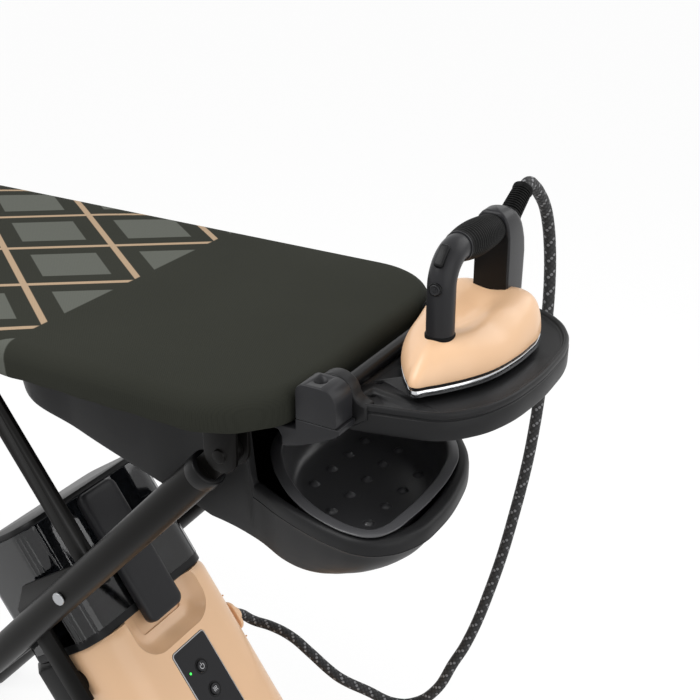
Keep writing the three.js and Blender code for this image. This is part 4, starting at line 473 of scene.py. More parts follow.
def smooth_line(points, spacing, closed=False):
    """A curve with automatic handles through the points, as evenly spaced points."""
    curve = bpy.data.curves.new("line", "CURVE")
    curve.dimensions = "3D"
    curve.resolution_u = LINE_STEPS
    spline = curve.splines.new("BEZIER")
    spline.bezier_points.add(len(points) - 1)
    spline.use_cyclic_u = closed
    for knot, point in zip(spline.bezier_points, points):
        knot.co = Vector(point).to_3d()
        knot.handle_left_type = knot.handle_right_type = "AUTO"
    holder = linked("line", curve)
    bpy.context.view_layer.update()
    found = [v.co.copy() for v in holder.to_mesh().vertices]
    holder.to_mesh_clear()
    bpy.data.objects.remove(holder)
    bpy.data.curves.remove(curve)
    return spaced(found, spacing, closed)


def arc(centre, radius, start, end, steps=8):
    """Points of an arc in a plane, from one angle in degrees to another."""
    angles = [math.radians(start + (end - start) * i / steps) for i in range(steps + 1)]
    return [(centre[0] + radius * math.cos(a), centre[1] + radius * math.sin(a)) for a in angles]


def drawn_in(outline, distance):
    """A closed outline moved inwards along its own normals."""
    count = len(outline)
    area = sum(
        outline[i - 1][0] * outline[i][1] - outline[i][0] * outline[i - 1][1] for i in range(count)
    )
    side = math.copysign(distance, area)
    moved = []
    for i, point in enumerate(outline):
        before, after = outline[i - 1], outline[(i + 1) % count]
        tangent = Vector((after[0] - before[0], after[1] - before[1])).normalized()
        moved.append(Vector((point[0] - tangent.y * side, point[1] + tangent.x * side)))
    return moved


# %% [markdown]
# ## Rings, skins, plates and spun shapes
#
# A moulded part's outline changes with height, and a turned part has one profile all round. One
# function lays a skin through rings, one gives an outline depth and one spins a profile.

# %% Rings, skins, plates and spun shapes
ORDER = "order"


def ring_of(bm, points):
    """A closed ring of edges; each vertex remembers its place in the ring."""
    order = bm.verts.layers.int.get(ORDER) or bm.verts.layers.int.new(ORDER)
    corners = [bm.verts.new(point) for point in points]
    for i, corner in enumerate(corners):
        corner[order] = i
    return [bm.edges.new((corners[i - 1], corners[i])) for i in range(len(corners))]


def extrude_ring(bm, edges, points):
    """Extrudes a ring and moves its new corners to the given points."""
    order = bm.verts.layers.int[ORDER]
    made = bmesh.ops.extrude_edge_only(bm, edges=edges)["geom"]
    for part in made:
        if isinstance(part, bmesh.types.BMVert):
            part.co = points[part[order]]
    return [part for part in made if isinstance(part, bmesh.types.BMEdge)]


def skin(rings, close_first=True, close_last=True):
    """A body through rings of the same count, with flat ends where asked."""
    bm = bmesh.new()
    first = ring_of(bm, rings[0])
    edges = first
    for ring in rings[1:]:
        edges = extrude_ring(bm, edges, ring)
    for ends, wanted in ((first, close_first), (edges, close_last)):
        if wanted:
            bmesh.ops.contextual_create(bm, geom=ends)
    bmesh.ops.recalc_face_normals(bm, faces=bm.faces)
    return bm


def profiled(outline, profile, **ends):
    """A skin whose rings are the outline drawn in, each at its own height."""
    return skin([[(p[0], p[1], z) for p in drawn_in(outline, draw)] for draw, z in profile], **ends)


def plate(outline, low, high, axis="Z"):
    """An outline given depth along an axis."""
    turn = {
        "Z": lambda u, v, w: (u, v, w),
        "Y": lambda u, v, w: (u, w, v),
        "X": lambda u, v, w: (w, u, v),
    }[axis]
    return skin([[turn(p[0], p[1], w) for p in outline] for w in (low, high)])


def spun(profile, sides=64):
    """A profile of radius and height, turned once round the Z axis; a hollow one is closed first."""
    bm = bmesh.new()
    line = list(profile)
    if line[0][0] > 0 and line[-1][0] > 0 and line[0] != line[-1]:
        line.append(line[0])
    corners = [bm.verts.new((radius, 0, height)) for radius, height in line]
    edges = [bm.edges.new(pair) for pair in zip(corners, corners[1:])]
    bmesh.ops.spin(
        bm, geom=corners + edges, cent=(0, 0, 0), axis=(0, 0, 1), angle=math.tau, steps=sides, use_merge=True
    )
    bmesh.ops.remove_doubles(bm, verts=bm.verts, dist=0.001)
    bmesh.ops.recalc_face_normals(bm, faces=bm.faces)
    return bm


def rounded_rectangle(x0, x1, half, radius, steps=8):
    """A rounded rectangle, symmetrical about the X axis."""
    corners = [(x1 - radius, half - radius), (x0 + radius, half - radius)]
    corners += [(x0 + radius, radius - half), (x1 - radius, radius - half)]
    line = []
    for turn, centre in enumerate(corners):
        line += arc(centre, radius, 90 * turn, 90 * turn + 90, steps)
    return line


def pointing(start, end):
    """The matrix that stands a spun shape at start, its axis towards end."""
    along = Vector(end) - Vector(start)
    return Matrix.Translation(start) @ along.to_track_quat("Z", "Y").to_matrix().to_4x4()


def turned(bm, matrix):
    bmesh.ops.transform(bm, matrix=matrix, verts=bm.verts)
    return bm


def merged(*shapes):
    """Several meshes in one; the first takes in the rest."""
    first = shapes[0]
    for other in shapes[1:]:
        holder = bpy.data.meshes.new("part")
        other.to_mesh(holder)
        first.from_mesh(holder)
        bpy.data.meshes.remove(holder)
        other.free()
    return first


def bevelled(bm, width, segments=3, angle=40, test=None):
    """Rounds the edges sharper than an angle, or those of them that pass a test."""
    sharp = [
        edge
        for edge in bm.edges
        if len(edge.link_faces) == 2
        and edge.calc_face_angle() > math.radians(angle)
        and (test is None or test(edge))
    ]
    bmesh.ops.bevel(
        bm,
        geom=sharp,
        offset=width,
        offset_type="OFFSET",
        segments=segments,
        profile=0.5,
        affect="EDGES",
        clamp_overlap=True,
        material=-1,
    )
    return bm


# %% [markdown]
# ## From meshes to pieces
#
# A mesh becomes an object in the scene's place with its sharp edges marked. Each piece then gets its
# finish and the body it moves with, and the CAD nodes that it stands for are hidden.

# %% Objects from meshes
SMOOTH_ANGLE = 38


def mark_sharp(bm, angle):
    """Smooth faces, apart from the edges sharper than an angle."""
    for face in bm.faces:
        face.smooth = True
    for edge in bm.edges:
        if len(edge.link_faces) == 2:
            edge.smooth = edge.calc_face_angle() < math.radians(angle)


def mesh_object(name, bm, local, smooth=SMOOTH_ANGLE):
    """An object at the origin whose mesh is in the scene's place."""
    turned(bm, local)
    mark_sharp(bm, smooth)
    mesh = bpy.data.meshes.new(name)
    bm.to_mesh(mesh)
    bm.free()
    return linked(name, mesh)


def apply_modifiers(piece):
    """Makes the modifiers' result the piece's own mesh."""
    bpy.context.view_layer.update()
    graph = bpy.context.evaluated_depsgraph_get()
    piece.data = bpy.data.meshes.new_from_object(piece.evaluated_get(graph))
    piece.modifiers.clear()


def carved(piece, cutter_bm, local):
    """Cuts a shape out of a piece."""
    cutter = mesh_object("cutter", cutter_bm, local)
    cut = piece.modifiers.new("cut", "BOOLEAN")
    cut.operation = "DIFFERENCE"
    cut.solver = "EXACT"
    cut.object = cutter
    apply_modifiers(piece)
    bpy.data.objects.remove(cutter)
    return piece


def reshade(piece, angle=SMOOTH_ANGLE):
    """Marks sharp edges again after a cut, and weights the normals by face area."""
    bm = bmesh.new()
    bm.from_mesh(piece.data)
    mark_sharp(bm, angle)
    bm.to_mesh(piece.data)
    bm.free()
    weighted = piece.modifiers.new("weighted", "WEIGHTED_NORMAL")
    weighted.keep_sharp = True
    return piece


def settle(piece, material, body, stands_for=()):
    """Gives a piece its finish and the body it moves with, and hides the CAD nodes it stands for."""
    piece.data.materials.clear()
    piece.data.materials.append(material)
    if body:
        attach(piece, body)
    if stands_for:
        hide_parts(*stands_for)
    return piece


BARE_CORNER = 0.7 * MM


def dress(material, *names, corner=BARE_CORNER):
    """Finishes CAD nodes that keep their shape: welded, with small rounded corners."""
    for name in names:
        node = nodes[name]
        node.data.materials.clear()
        node.data.materials.append(material)
        for face in node.data.polygons:
            face.use_smooth = True
        node.modifiers.new("weld", "WELD").merge_threshold = 0.01 * MM
        corners = node.modifiers.new("corners", "BEVEL")
        corners.width = corner
        corners.segments = 2
        corners.limit_method = "ANGLE"
        corners.angle_limit = math.radians(32)
        corners.harden_normals = True
    return len(names)


# %% [markdown]
# ## The steam hose
#
# The hose leaves the iron's strain relief, arches over and hangs down behind the rest, then swings
# back up to its socket on the generator. Its route is the CAD model's list of points. It crosses
# three joints, so it is four stretches that meet face to face. Each stretch is listed with the bodies
# at its two ends, but it is left fixed in the scene and follows neither.

# %% Hose
HOSE_DIAMETER = 14
HOSE_STEP = 30
HOSE_SPACING = 4
HOSE_ROUTE = [
    (81, 169.8, 125.1), (81, 182, 127.5), (81, 200, 119), (81, 217, 106), (81, 235, 88), (81, 249, 65),
    (81, 260, 35), (81, 268, -5), (81, 270, -50), (76, 270, -199), (60, 260, -336), (41.5, 240, -446),
    (20, 220, -530), (8, 210, -559), (-12, 197, -606), (-35, 186, -628), (-62, 176, -634),
    (-100, 165, -621), (-135.4, 152, -604.5), (-152.2, 152, -598.2), (-185.3, 155, -583.8),
    (-218.9, 158, -571), (-251.5, 158, -566.1), (-279.5, 150, -560.4), (-289, 141, -549),
    (-291, 127.3, -537.7),
]
HOSE_STRETCHES = [
    ("hose_upper", 0.0, 0.14, "iron", "rest"),
    ("hose_drop", 0.14, 0.42, "rest", "board"),
    ("hose_loop", 0.42, 0.7, "board", "leg_a"),
    ("hose_lower", 0.7, 1.0, "leg_a", "leg_b"),
]


def tube_along(name, points, radius, start=0.0):
    """A round tube through points, in metres, whose UV map counts braid threads along it."""
    curve = bpy.data.curves.new(name, "CURVE")
    curve.dimensions = "3D"
    curve.bevel_depth = radius
    curve.bevel_resolution = 6
    curve.use_fill_caps = True
    spline = curve.splines.new("POLY")
    spline.points.add(len(points) - 1)
    for knot, point in zip(spline.points, points):
        knot.co = (*point, 1.0)
    holder = linked(name, curve)
    bpy.context.view_layer.update()
    graph = bpy.context.evaluated_depsgraph_get()
    mesh = bpy.data.meshes.new_from_object(holder.evaluated_get(graph))
    bpy.data.objects.remove(holder)
    bpy.data.curves.remove(curve)
    length = sum((b - a).length for a, b in zip(points, points[1:]))
    thread = math.tau * radius / BRAID_THREADS
    for corner in mesh.uv_layers[0].data:
        corner.uv[0] = start + corner.uv[0] * length / thread
    for face in mesh.polygons:
        face.use_smooth = True
    return linked(name, mesh), length, start + length / thread


hose_line = [BOARD @ p for p in smooth_line(HOSE_ROUTE, HOSE_SPACING)]
hose_length = sum((b - a).length for a, b in zip(hose_line, hose_line[1:]))
steps = round(hose_length / (HOSE_STEP * MM))
thread_count = 0.0
for name, start, end, body_before, body_after in HOSE_STRETCHES:
    first, last = (round(round(steps * share) / steps * (len(hose_line) - 1)) for share in (start, end))
    stretch = hose_line[first : last + 1]
    hose, length, thread_count = tube_along(
        "braided_" + name, stretch, HOSE_DIAMETER / 2 * MM, thread_count
    )
    settle(hose, hose_braid, None, (name,))
    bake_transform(hose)
    print(hose.name, "is", round(length, 3), "m long")
print("hose length in all:", round(hose_length, 3), "m")

# %% [markdown]
# ## Floor, backdrop and light
#
# The table stands in a plain white studio. The floor's own colour makes it pale, and it shows
# almost white to the camera, to reflections and through the tank, while it keeps the soft shadow.
# Three large soft lamps and a pale world light the object evenly.

# %% Stage and lamps
FLOOR_SIZE = 60.0
WORLD_LEVEL = 0.68
PAPER_STRENGTH = 1.08
PAPER_SHARE = 0.78


def seen_directly(tree):
    """1 for camera rays, mirror reflections and rays through the tank, else 0."""
    path = add_node(tree, "LightPath").outputs
    glossy = maths(tree, "MAXIMUM", path["Is Glossy Ray"], path["Is Transmission Ray"])
    return maths(tree, "MAXIMUM", path["Is Camera Ray"], glossy)


floor_bm = bmesh.new()
bmesh.ops.create_grid(floor_bm, x_segments=2, y_segments=2, size=FLOOR_SIZE / 2)
floor = mesh_object("studio_floor", floor_bm, Matrix.Identity(4))
floor_white, tree, shader = new_material("floor_white", Base_Color=(0.86, 0.86, 0.86, 1.0), Roughness=0.9)
floor.data.materials.append(floor_white)
paper = add_node(tree, "Emission", {"Color": (1.0, 1.0, 1.0, 1.0), "Strength": PAPER_STRENGTH})
share = maths(tree, "MULTIPLY", seen_directly(tree), PAPER_SHARE)
both = add_node(tree, "MixShader", {0: share, 1: shader.outputs[0], 2: paper.outputs[0]})
tree.links.new(both.outputs[0], tree.nodes["Material Output"].inputs["Surface"])

world = bpy.data.worlds.new("studio")
bpy.context.scene.world = world
world.use_nodes = True
tree = world.node_tree
background = tree.nodes["Background"]
level = ranged(tree, seen_directly(tree), WORLD_LEVEL, 1.0)
tree.links.new(level, background.inputs["Strength"])
background.inputs["Color"].default_value = (1.0, 1.0, 1.0, 1.0)

LAMPS = [
    ("key_lamp", (-900, -900, 1500), (0, 0, 0), 1.2, 24.0),
    ("rim_lamp", (900, 1300, 1100), (0, 0, -200), 1.4, 12.0),
    ("front_lamp", (1300, -500, 300), (-250, 0, -400), 1.4, 7.0),
]
for name, place, goal, size, power in LAMPS:
    light = bpy.data.lights.new(name, "AREA")
    light.shape = "SQUARE"
    light.size = size
    light.energy = power
    lamp = linked(name, light)
    lamp.location = BOARD @ Vector(place)
    towards = BOARD @ Vector(goal) - lamp.location
    lamp.rotation_euler = towards.to_track_quat("-Z", "Y").to_euler()
print("lamps:", [lamp[0] for lamp in LAMPS])

# %% [markdown]
# ## The board's cover and pad
#
# The cover is one sheet of printed cotton, pulled over the felt pad and drawn in underneath by a
# hidden cord, so its top is smooth, its edge well rounded and its hem gathered. It is built as a
# skin through the board's outline: from the gathered hem, up the side, round the edge and over a
# slightly crowned top.

# %% Board outline
BOARD_LENGTH = 1194
BOARD_HALF = 205
BOARD_CORNER = 96
TAPER_START = 690
TAPER_BEND = 900
NOSE_START = 1115
NOSE_HALF = 100
NOSE_BEND = 60


def board_outline(spacing):
    """The board seen from above: square end, straight sides, tapering to a round nose."""
    half, corner = BOARD_HALF, BOARD_CORNER
    slope = (half - NOSE_HALF) / (NOSE_START - TAPER_BEND)
    lean = (BOARD_LENGTH - NOSE_START) / 2
    side = arc((-corner, half - corner), corner, 0, 90, 16)
    bend = [Vector((-TAPER_START, half)), Vector((-TAPER_BEND, half)), Vector((-NOSE_START, NOSE_HALF))]
    for i in range(1, 13):
        t = i / 12
        side.append(bend[0] * (1 - t) ** 2 + bend[1] * 2 * t * (1 - t) + bend[2] * t**2)
    nose = [
        Vector((-NOSE_START, NOSE_HALF)),
        Vector((-NOSE_START - lean, NOSE_HALF - lean * slope)),
        Vector((-BOARD_LENGTH, NOSE_BEND)),
        Vector((-BOARD_LENGTH, 0)),
    ]
    for i in range(1, 13):
        t = i / 12
        weights = ((1 - t) ** 3, 3 * t * (1 - t) ** 2, 3 * t**2 * (1 - t), t**3)
        side.append(sum((p * w for p, w in zip(nose, weights)), Vector((0, 0))))
    points = [Vector((p[0] - COVER_SETBACK, p[1], 0)) for p in side]
    other = [Vector((p.x, -p.y, 0)) for p in reversed(points[:-1])]
    return spaced(points + other, spacing, True)


# %% [markdown]
# ## Cover cloth
#
# The cover is pulled tight over the pad and drawn in under the edge, where its hem gathers. It is a
# modelled skin in its stretched shape and not a simulated cloth.

# %% Cover cloth, drawn over the edge
COVER_SPACING = 9
EDGE_ROUND = 17
COVER_SIDE = 37
HEM_WIDTH = 26
COVER_CLOTH = 1.4
GATHER_PITCH = 5
GATHER_LIFT = 0.5
GATHER_DRIFT = 0.3
GATHER_DRIFT_RATE = 0.37
outline = board_outline(COVER_SPACING)
round_profile = [
    (EDGE_ROUND * (1 - math.cos(a)), EDGE_ROUND * (math.sin(a) - 1))
    for a in (math.radians(90 * i / 7) for i in range(8))
]
cover_profile = [
    (HEM_WIDTH, -COVER_SIDE + 1),
    (HEM_WIDTH / 2, -COVER_SIDE),
    (6, -COVER_SIDE - 0.6),
    (2, -COVER_SIDE + 1.4),
    (0.6, -COVER_SIDE + 5),
    *round_profile,
    (30, 0.6),
    (44, 1.0),
]
cover_bm = profiled(outline, cover_profile, close_first=False)
order = cover_bm.verts.layers.int[ORDER]
for corner in cover_bm.verts:
    if corner.co.z < -COVER_SIDE + 3:
        phase = corner[order] * math.tau / GATHER_PITCH
        corner.co.z += GATHER_LIFT * math.sin(phase)
        corner.co.z += GATHER_DRIFT * math.sin(phase * GATHER_DRIFT_RATE)
cover = mesh_object("cover_cloth_sheet", cover_bm, BOARD, smooth=80)
thickness = cover.modifiers.new("cloth", "SOLIDIFY")
thickness.thickness = COVER_CLOTH * MM
thickness.offset = -1
settle(cover, cover_cloth, "board", ("board_cover",))

# %% [markdown]
# ## Felt pad
#
# Under the cloth lies a felt pad that lets the steam through. It is a soft solid inside the cover.

# %% Felt pad inside it
PAD_TOP = -3.3
PAD_THICK = 8
PAD_INSET = 8
pad_profile = [
    (PAD_INSET + 2, PAD_TOP - PAD_THICK),
    (PAD_INSET, PAD_TOP - PAD_THICK + 2),
    (PAD_INSET, PAD_TOP - 3),
    (PAD_INSET + 3, PAD_TOP),
    (PAD_INSET + 12, PAD_TOP + 0.4),
]
pad = mesh_object("felt_pad", profiled(outline, pad_profile), BOARD)
settle(pad, felt, "board", ("board_pad",))
print("cover and pad made")

# %% [markdown]
# ## The iron's sole and shell
#
# The sole is a thick polished plate with a pointed nose. A black heat shield parts it from the
# painted shell. The shell is a dome over the sole's outline: two soft ridges run from the post back
# to the heel's shoulders, with a shallow valley between them that the handle's rear block stands in.

# %% Sole and heat shield
IRON_NOSE = -76
IRON_HEEL = 132
IRON_HALF = 58.5
SOLE_TOP = SOLE_STAND + 8
SHIELD_TOP = SOLE_TOP + 2.4
SOLE_SHARES = [
    (0.21, 0.055), (0.44, 0.139), (0.71, 0.267), (0.86, 0.377), (0.965, 0.534), (1, 0.683),
    (0.965, 0.837), (0.8, 0.94), (0.4, 0.995),
]
iron_long = IRON_HEEL - IRON_NOSE
right_side = [(IRON_HALF * across, IRON_NOSE + iron_long * along) for across, along in SOLE_SHARES]
left_side = [(-x, y) for x, y in reversed(right_side)]
sole_points = [(0, IRON_NOSE), *right_side, (0, IRON_HEEL), *left_side]
sole_line = smooth_line(sole_points, spacing=3.2, closed=True)
SOLE_PROFILE = [(3, 0), (0.8, 0.3), (0, 1.2), (0, 6.4), (0.5, 7.5), (1.8, 8)]
sole_profile = [(draw, SOLE_STAND + up) for draw, up in SOLE_PROFILE]
sole = mesh_object("polished_sole", profiled(sole_line, sole_profile), IRON)
settle(sole, bright_chrome, "iron", ("soleplate",))
shield_profile = [(2.5, SOLE_TOP - 1), (2.5, SHIELD_TOP)]
shield = mesh_object("heat_shield", profiled(sole_line, shield_profile), IRON)
settle(shield, black_plastic, "iron")

# %% [markdown]
# ## Painted shell
#
# The shell rises steeply at the heel and dips between two ridges. Each ring is the sole's outline
# shrunk towards the iron's middle, and its heights lie between the ridges' and the valley's.

# %% Painted shell
SHELL_LOW = SHIELD_TOP + 0.3
RIDGE_HEIGHTS = [(-76, 45), (-40, 54), (-20, 54.5), (20, 55), (60, 58), (100, 63), (132, 60)]
VALLEY_HEIGHTS = [(-76, 45), (-40, 54), (-20, 53), (20, 45), (60, 48), (100, 59), (132, 57)]
RIDGE_HALF = 31
ROUND_NOSE = 3.0
ROUND_HEEL = 9.0
DOME_RISE = 0.52
DOME_SHARES = (1, 0.998, 0.99, 0.975, 0.95, 0.915, 0.87, 0.82, 0.76)
DOME_SHARES += (0.69, 0.61, 0.53, 0.45, 0.36, 0.27, 0.18, 0.1)


def eased(value):
    value = min(max(value, 0.0), 1.0)
    return value * value * (3 - 2 * value)


def height_at(y, heights):
    """A height between the known ones along the iron, with soft steps."""
    for (y0, z0), (y1, z1) in zip(heights, heights[1:]):
        if y <= y1:
            return z0 + (z1 - z0) * eased((y - y0) / (y1 - y0))
    return heights[-1][1]


def dome_top(x, y):
    """The shell's crown over a point: a ridge on each side, a valley between them."""
    ridge, valley = height_at(y, RIDGE_HEIGHTS), height_at(y, VALLEY_HEIGHTS)
    return valley + (ridge - valley) * eased(abs(x) / RIDGE_HALF)


iron_middle = (IRON_NOSE + IRON_HEEL) / 2
rings = []
for share in DOME_SHARES:
    ring = []
    for point in sole_line:
        x, y = point.x * share, iron_middle + (point.y - iron_middle) * share
        power = ROUND_NOSE + (ROUND_HEEL - ROUND_NOSE) * eased((point.y - 20) / 100)
        rise = (1 - share**power) ** DOME_RISE
        ring.append((x, y, SHELL_LOW + (dome_top(x, y) - SHELL_LOW) * rise))
    rings.append(ring)
shell_bm = skin([[(x, y, SHELL_LOW) for x, y, z in rings[2]], *rings])
iron_shell = mesh_object("painted_shell", shell_bm, IRON, smooth=60)
finer = iron_shell.modifiers.new("finer", "SUBSURF")
finer.levels = finer.render_levels = 1
settle(iron_shell, tan_shell, "iron", ("iron_shell",))
print("sole", iron_long, "mm long, shell rings:", len(rings))

# %% [markdown]
# ## The iron's handle
#
# A plastic post rises through the shell and bends over into the grip. The grip is a rubber sleeve
# with fine ribs, thicker in the middle. Its rear end is carried by a block with a rounded back, and
# the hose leaves through a ribbed rubber strain relief. The keys for steam sit on the post's bend.

# %% Post with its elbow
POST_Y = -20
POST_RADIUS = 14
GRIP_Z = 128
ELBOW = 30
GRIP_START = 14
GRIP_END = 92
GRIP_DROP = 5


def swept(path, radii, sides=40):
    """A round bar along a path that stays in one plane of the iron, square to X."""
    rings = []
    for i, place in enumerate(path):
        after, before = path[min(i + 1, len(path) - 1)], path[max(i - 1, 0)]
        along = (after - before).normalized()
        up = along.cross(Vector((1, 0, 0)))
        ring = []
        for k in range(sides):
            angle = math.tau * k / sides
            out = Vector((1, 0, 0)) * math.cos(angle) + up * math.sin(angle)
            ring.append(place + out * radii[i])
        rings.append(ring)
    return skin(rings)


bend = [
    Vector((0, POST_Y + ELBOW + x, GRIP_Z - ELBOW + z)) for x, z in arc((0, 0), ELBOW, 180, 90, 16)
]
post_path = [Vector((0, POST_Y, z)) for z in (38, 50, 65, 80, 90)] + bend + [Vector((0, GRIP_START, GRIP_Z))]
post_radii = [POST_RADIUS] * len(post_path)
post = mesh_object("handle_post", swept(post_path, post_radii), IRON)
settle(post, grey_plastic, "iron", ("handle",))
collar_profile = [(13, 0), (14.9, 0), (15, 7.4), (14.7, 8), (14.2, 8.2), (13.6, 8.2)]
collar = mesh_object(
    "post_collar", turned(spun(collar_profile), Matrix.Translation((0, POST_Y, 43))), IRON
)
settle(collar, black_rubber, "iron")

# %% [markdown]
# ## Ribbed grip
#
# The hand closes round a rubber sleeve that swells in the middle. It is a profile spun once round the
# grip's axis, so its ribs are real grooves, which fade out towards both ends.

# %% Ribbed grip with its end ring
GRIP_RADIUS = 15
GRIP_SWELL = 3.6
RIB_PITCH = 3.9
RIB_DEPTH = 0.75
FADE_IN = 0.08
FADE_OUT = 0.22
grip_start = Vector((0, GRIP_START, GRIP_Z))
grip_end = Vector((0, GRIP_END + 4, GRIP_Z - GRIP_DROP))
grip_length = (grip_end - grip_start).length
grip_profile = [(11, 0.6)]
GRIP_STEP = 0.65
for i in range(int(grip_length / GRIP_STEP) + 1):
    along = i * GRIP_STEP
    share = along / grip_length
    swell = GRIP_SWELL * math.sin(math.pi * share**0.85)
    fade = eased(share / FADE_IN) * eased((1 - share) / FADE_OUT)
    rib = RIB_DEPTH * (1 - abs(math.sin(math.pi * along / RIB_PITCH))) * fade
    grip_profile.append((GRIP_RADIUS + swell - rib, along + 0.6))
grip_profile.append((11, grip_length))
grip = mesh_object("ribbed_grip", turned(spun(grip_profile), pointing(grip_start, grip_end)), IRON)
settle(grip, black_rubber, "iron", ("grip_sleeve",))
ring_profile = [(13, -1.2), (14.9, -1.2), (15.3, -0.6), (15.3, 0.3), (14.9, 0.8), (13, 0.8)]
grip_ring = mesh_object("grip_ring", turned(spun(ring_profile), pointing(grip_start, grip_end)), IRON)
settle(grip_ring, grey_plastic, "iron")

# %% [markdown]
# ## Rear block
#
# The grip ends in an upright block that carries the hose. Its back is a stack of rings with round rear
# corners, and a flat black plate lies on its front.

# %% Rear block: a flat black front and a rounded grey back
BLOCK_RINGS = [
    (44, 94, 146, 19.5), (70, 94, 147, 19.5), (90, 94, 147.5, 19.5), (104, 93.5, 145, 19.5),
    (114, 93, 141, 19.3), (122, 92, 137, 18.8), (129, 91, 132, 17.6), (135, 90.5, 126.5, 15.4),
    (139.5, 91, 120, 12), (142, 93, 112, 7.5),
]


def block_ring(z, front, back, half, steps=9):
    """A horizontal ring with a flat front and a round back."""
    small, large = min(2.5, half * 0.3), min(half * 0.86, (back - front) * 0.45)
    corners = [
        ((half - large, back - large), large, 0),
        ((large - half, back - large), large, 90),
        ((small - half, front + small), small, 180),
        ((half - small, front + small), small, 270),
    ]
    ring = []
    for centre, radius, turn in corners:
        ring += [(x, y, z) for x, y in arc(centre, radius, turn, turn + 90, steps)]
    return ring


block_rings = [block_ring(*sizes) for sizes in BLOCK_RINGS]
block_back = mesh_object("block_back", skin(block_rings), IRON, smooth=70)
settle(block_back, grey_plastic, "iron", ("handle_heel",))
front_line = [(-18.4, 44), (18.4, 44), *arc((4.4, 112), 14, 0, 90, 10), *arc((-4.4, 112), 14, 90, 180, 10)]
front_plate = bevelled(plate(front_line, 92.4, 95, "Y"), 0.8, 3, 50)
block_front = mesh_object("block_front", front_plate, IRON)
settle(block_front, black_plastic, "iron")

# %% [markdown]
# ## Strain relief
#
# A ribbed rubber sleeve keeps the hose from kinking where it leaves the block. Each rib is a short
# step of one spun profile, a little smaller towards the hose.

# %% Strain relief
RELIEF_START = Vector((0, 134, 124))
RELIEF_LENGTH = 41
RELIEF_ANGLE = math.radians(30)
RELIEF_RIBS = 10
RELIEF_PITCH = 3.2
RELIEF_RADIUS = 11.7
RELIEF_TAPER = 0.12
relief_along = Vector((0, math.cos(RELIEF_ANGLE), math.sin(RELIEF_ANGLE)))
relief_profile = [(4, -6), (12, -6), (12, 3.4)]
for i in range(RELIEF_RIBS):
    start = 4 + i * RELIEF_PITCH
    radius = RELIEF_RADIUS - RELIEF_TAPER * i
    relief_profile += [(radius - 1.5, start), (radius - 1.5, start + 1.2)]
    relief_profile += [(radius - 0.3, start + 1.5), (radius, start + 1.9), (radius, start + 2.6)]
    relief_profile += [(radius - 0.3, start + 3)]
relief_profile += [(10.9, RELIEF_LENGTH - 4.4), (11.3, RELIEF_LENGTH - 3.8), (11.3, RELIEF_LENGTH - 0.9)]
relief_profile += [(10.6, RELIEF_LENGTH - 0.2), (7.4, RELIEF_LENGTH)]
relief = mesh_object(
    "strain_relief",
    turned(spun(relief_profile, 40), pointing(RELIEF_START, RELIEF_START + relief_along)),
    IRON,
)
settle(relief, black_rubber, "iron", ("hose_relief",))

# %% [markdown]
# ## Steam key
#
# A small round key sits on the front of the post. The post gets a socket that is deeper than the key,
# so that the key has room to be pressed, and a bezel covers the socket's edge.

# %% Round steam key with a cross on it
KEY_HEIGHT = 100
key_place = pointing((0, POST_Y - POST_RADIUS, KEY_HEIGHT), (0, POST_Y - POST_RADIUS - 1, KEY_HEIGHT))
key_profile = [(0, -3), (5.5, -3), (5.5, 1), (5.1, 1.7), (4.4, 2), (3.8, 1.7), (2.5, 1.5), (0, 1.4)]
bars = []
for half_x, half_y in ((2.6, 0.55), (0.55, 2.6)):
    corners = [(half_x, half_y), (-half_x, half_y), (-half_x, -half_y), (half_x, -half_y)]
    bars.append(bevelled(plate(corners, 1.2, 2.1), 0.25, segments=2))
carved(post, turned(spun([(0, -5), (5.7, -5), (5.7, 4), (0, 4)], 40), key_place), IRON)
reshade(post, 50)
steam_key = mesh_object("round_steam_key", turned(merged(spun(key_profile, 40), *bars), key_place), IRON)
settle(steam_key, grey_plastic, "iron_steam_key", ("steam_key",))
bezel_profile = [(5.7, -1.5), (6.9, -1.5), (6.9, 0.3), (6.5, 0.8), (5.9, 0.8), (5.7, 0.4)]
bezel = mesh_object("steam_key_bezel", turned(spun(bezel_profile, 40), key_place), IRON)
settle(bezel, black_plastic, "iron")
handle_pieces = [o.name for o in bpy.data.objects if "block" in o.name or "grip" in o.name]
print("grip and rear block:", handle_pieces)

# %% [markdown]
# ## The folding iron rest
#
# The rest is a moulded plate with a raised bead round its edge, so that a hot iron can't slide off.
# Its board side ends in a round barrel over the hinge pin. Two arched ears close the barrel's ends,
# and near the iron's nose two holes drain condensed water into the tray below.

# %% Rest plate
REST_TOP = -20
REST_REACH = 167
REST_BULGE = 196
PIN_X = 17
PIN_Z = -12
EAR_NEAR = (-113, -95)
EAR_FAR = (110, 128)
REST_SHARES = [
    (0.503, -0.515), (0.701, -0.459), (0.844, -0.337), (0.934, -0.184), (0.994, 0.092), (1, 0.367),
    (0.964, 0.622), (0.886, 0.776), (0.766, 0.898), (0.623, 0.974), (0.467, 1), (0.335, 0.939),
]
bulge_points = [(REST_REACH * along, REST_BULGE * across) for along, across in REST_SHARES]
rest_points = [(22, -112), (44, -110), (64, -105.5), *bulge_points, (44, 172)]
bulge_line = smooth_line(rest_points, spacing=4)
corner_far = arc((47, 168), 5, 100, 180, 4)
rest_line = spaced(
    [(2, -111.5), *[p.xy for p in bulge_line], *corner_far, (42, 129.4), (2, 128)], 4, closed=True
)
rest_profile = [
    (12, -25), (11, -43), (8, -45), (3.4, -45), (1, -44), (0.2, -41.5), (0, -24.6), (0.3, -24),
    (1.5, -23.4), (1.6, -22.6), (0.7, -21.6), (0.3, -20), (0.4, -17.6), (1.1, -16), (2.4, -15.1),
    (3.6, -15), (4.9, -15.4), (5.9, -16.5), (6.4, -18), (7, -19.2), (8.2, -19.9), (10, -20),
]
rest_plate = mesh_object("rest_plate", profiled(rest_line, rest_profile), BOARD)
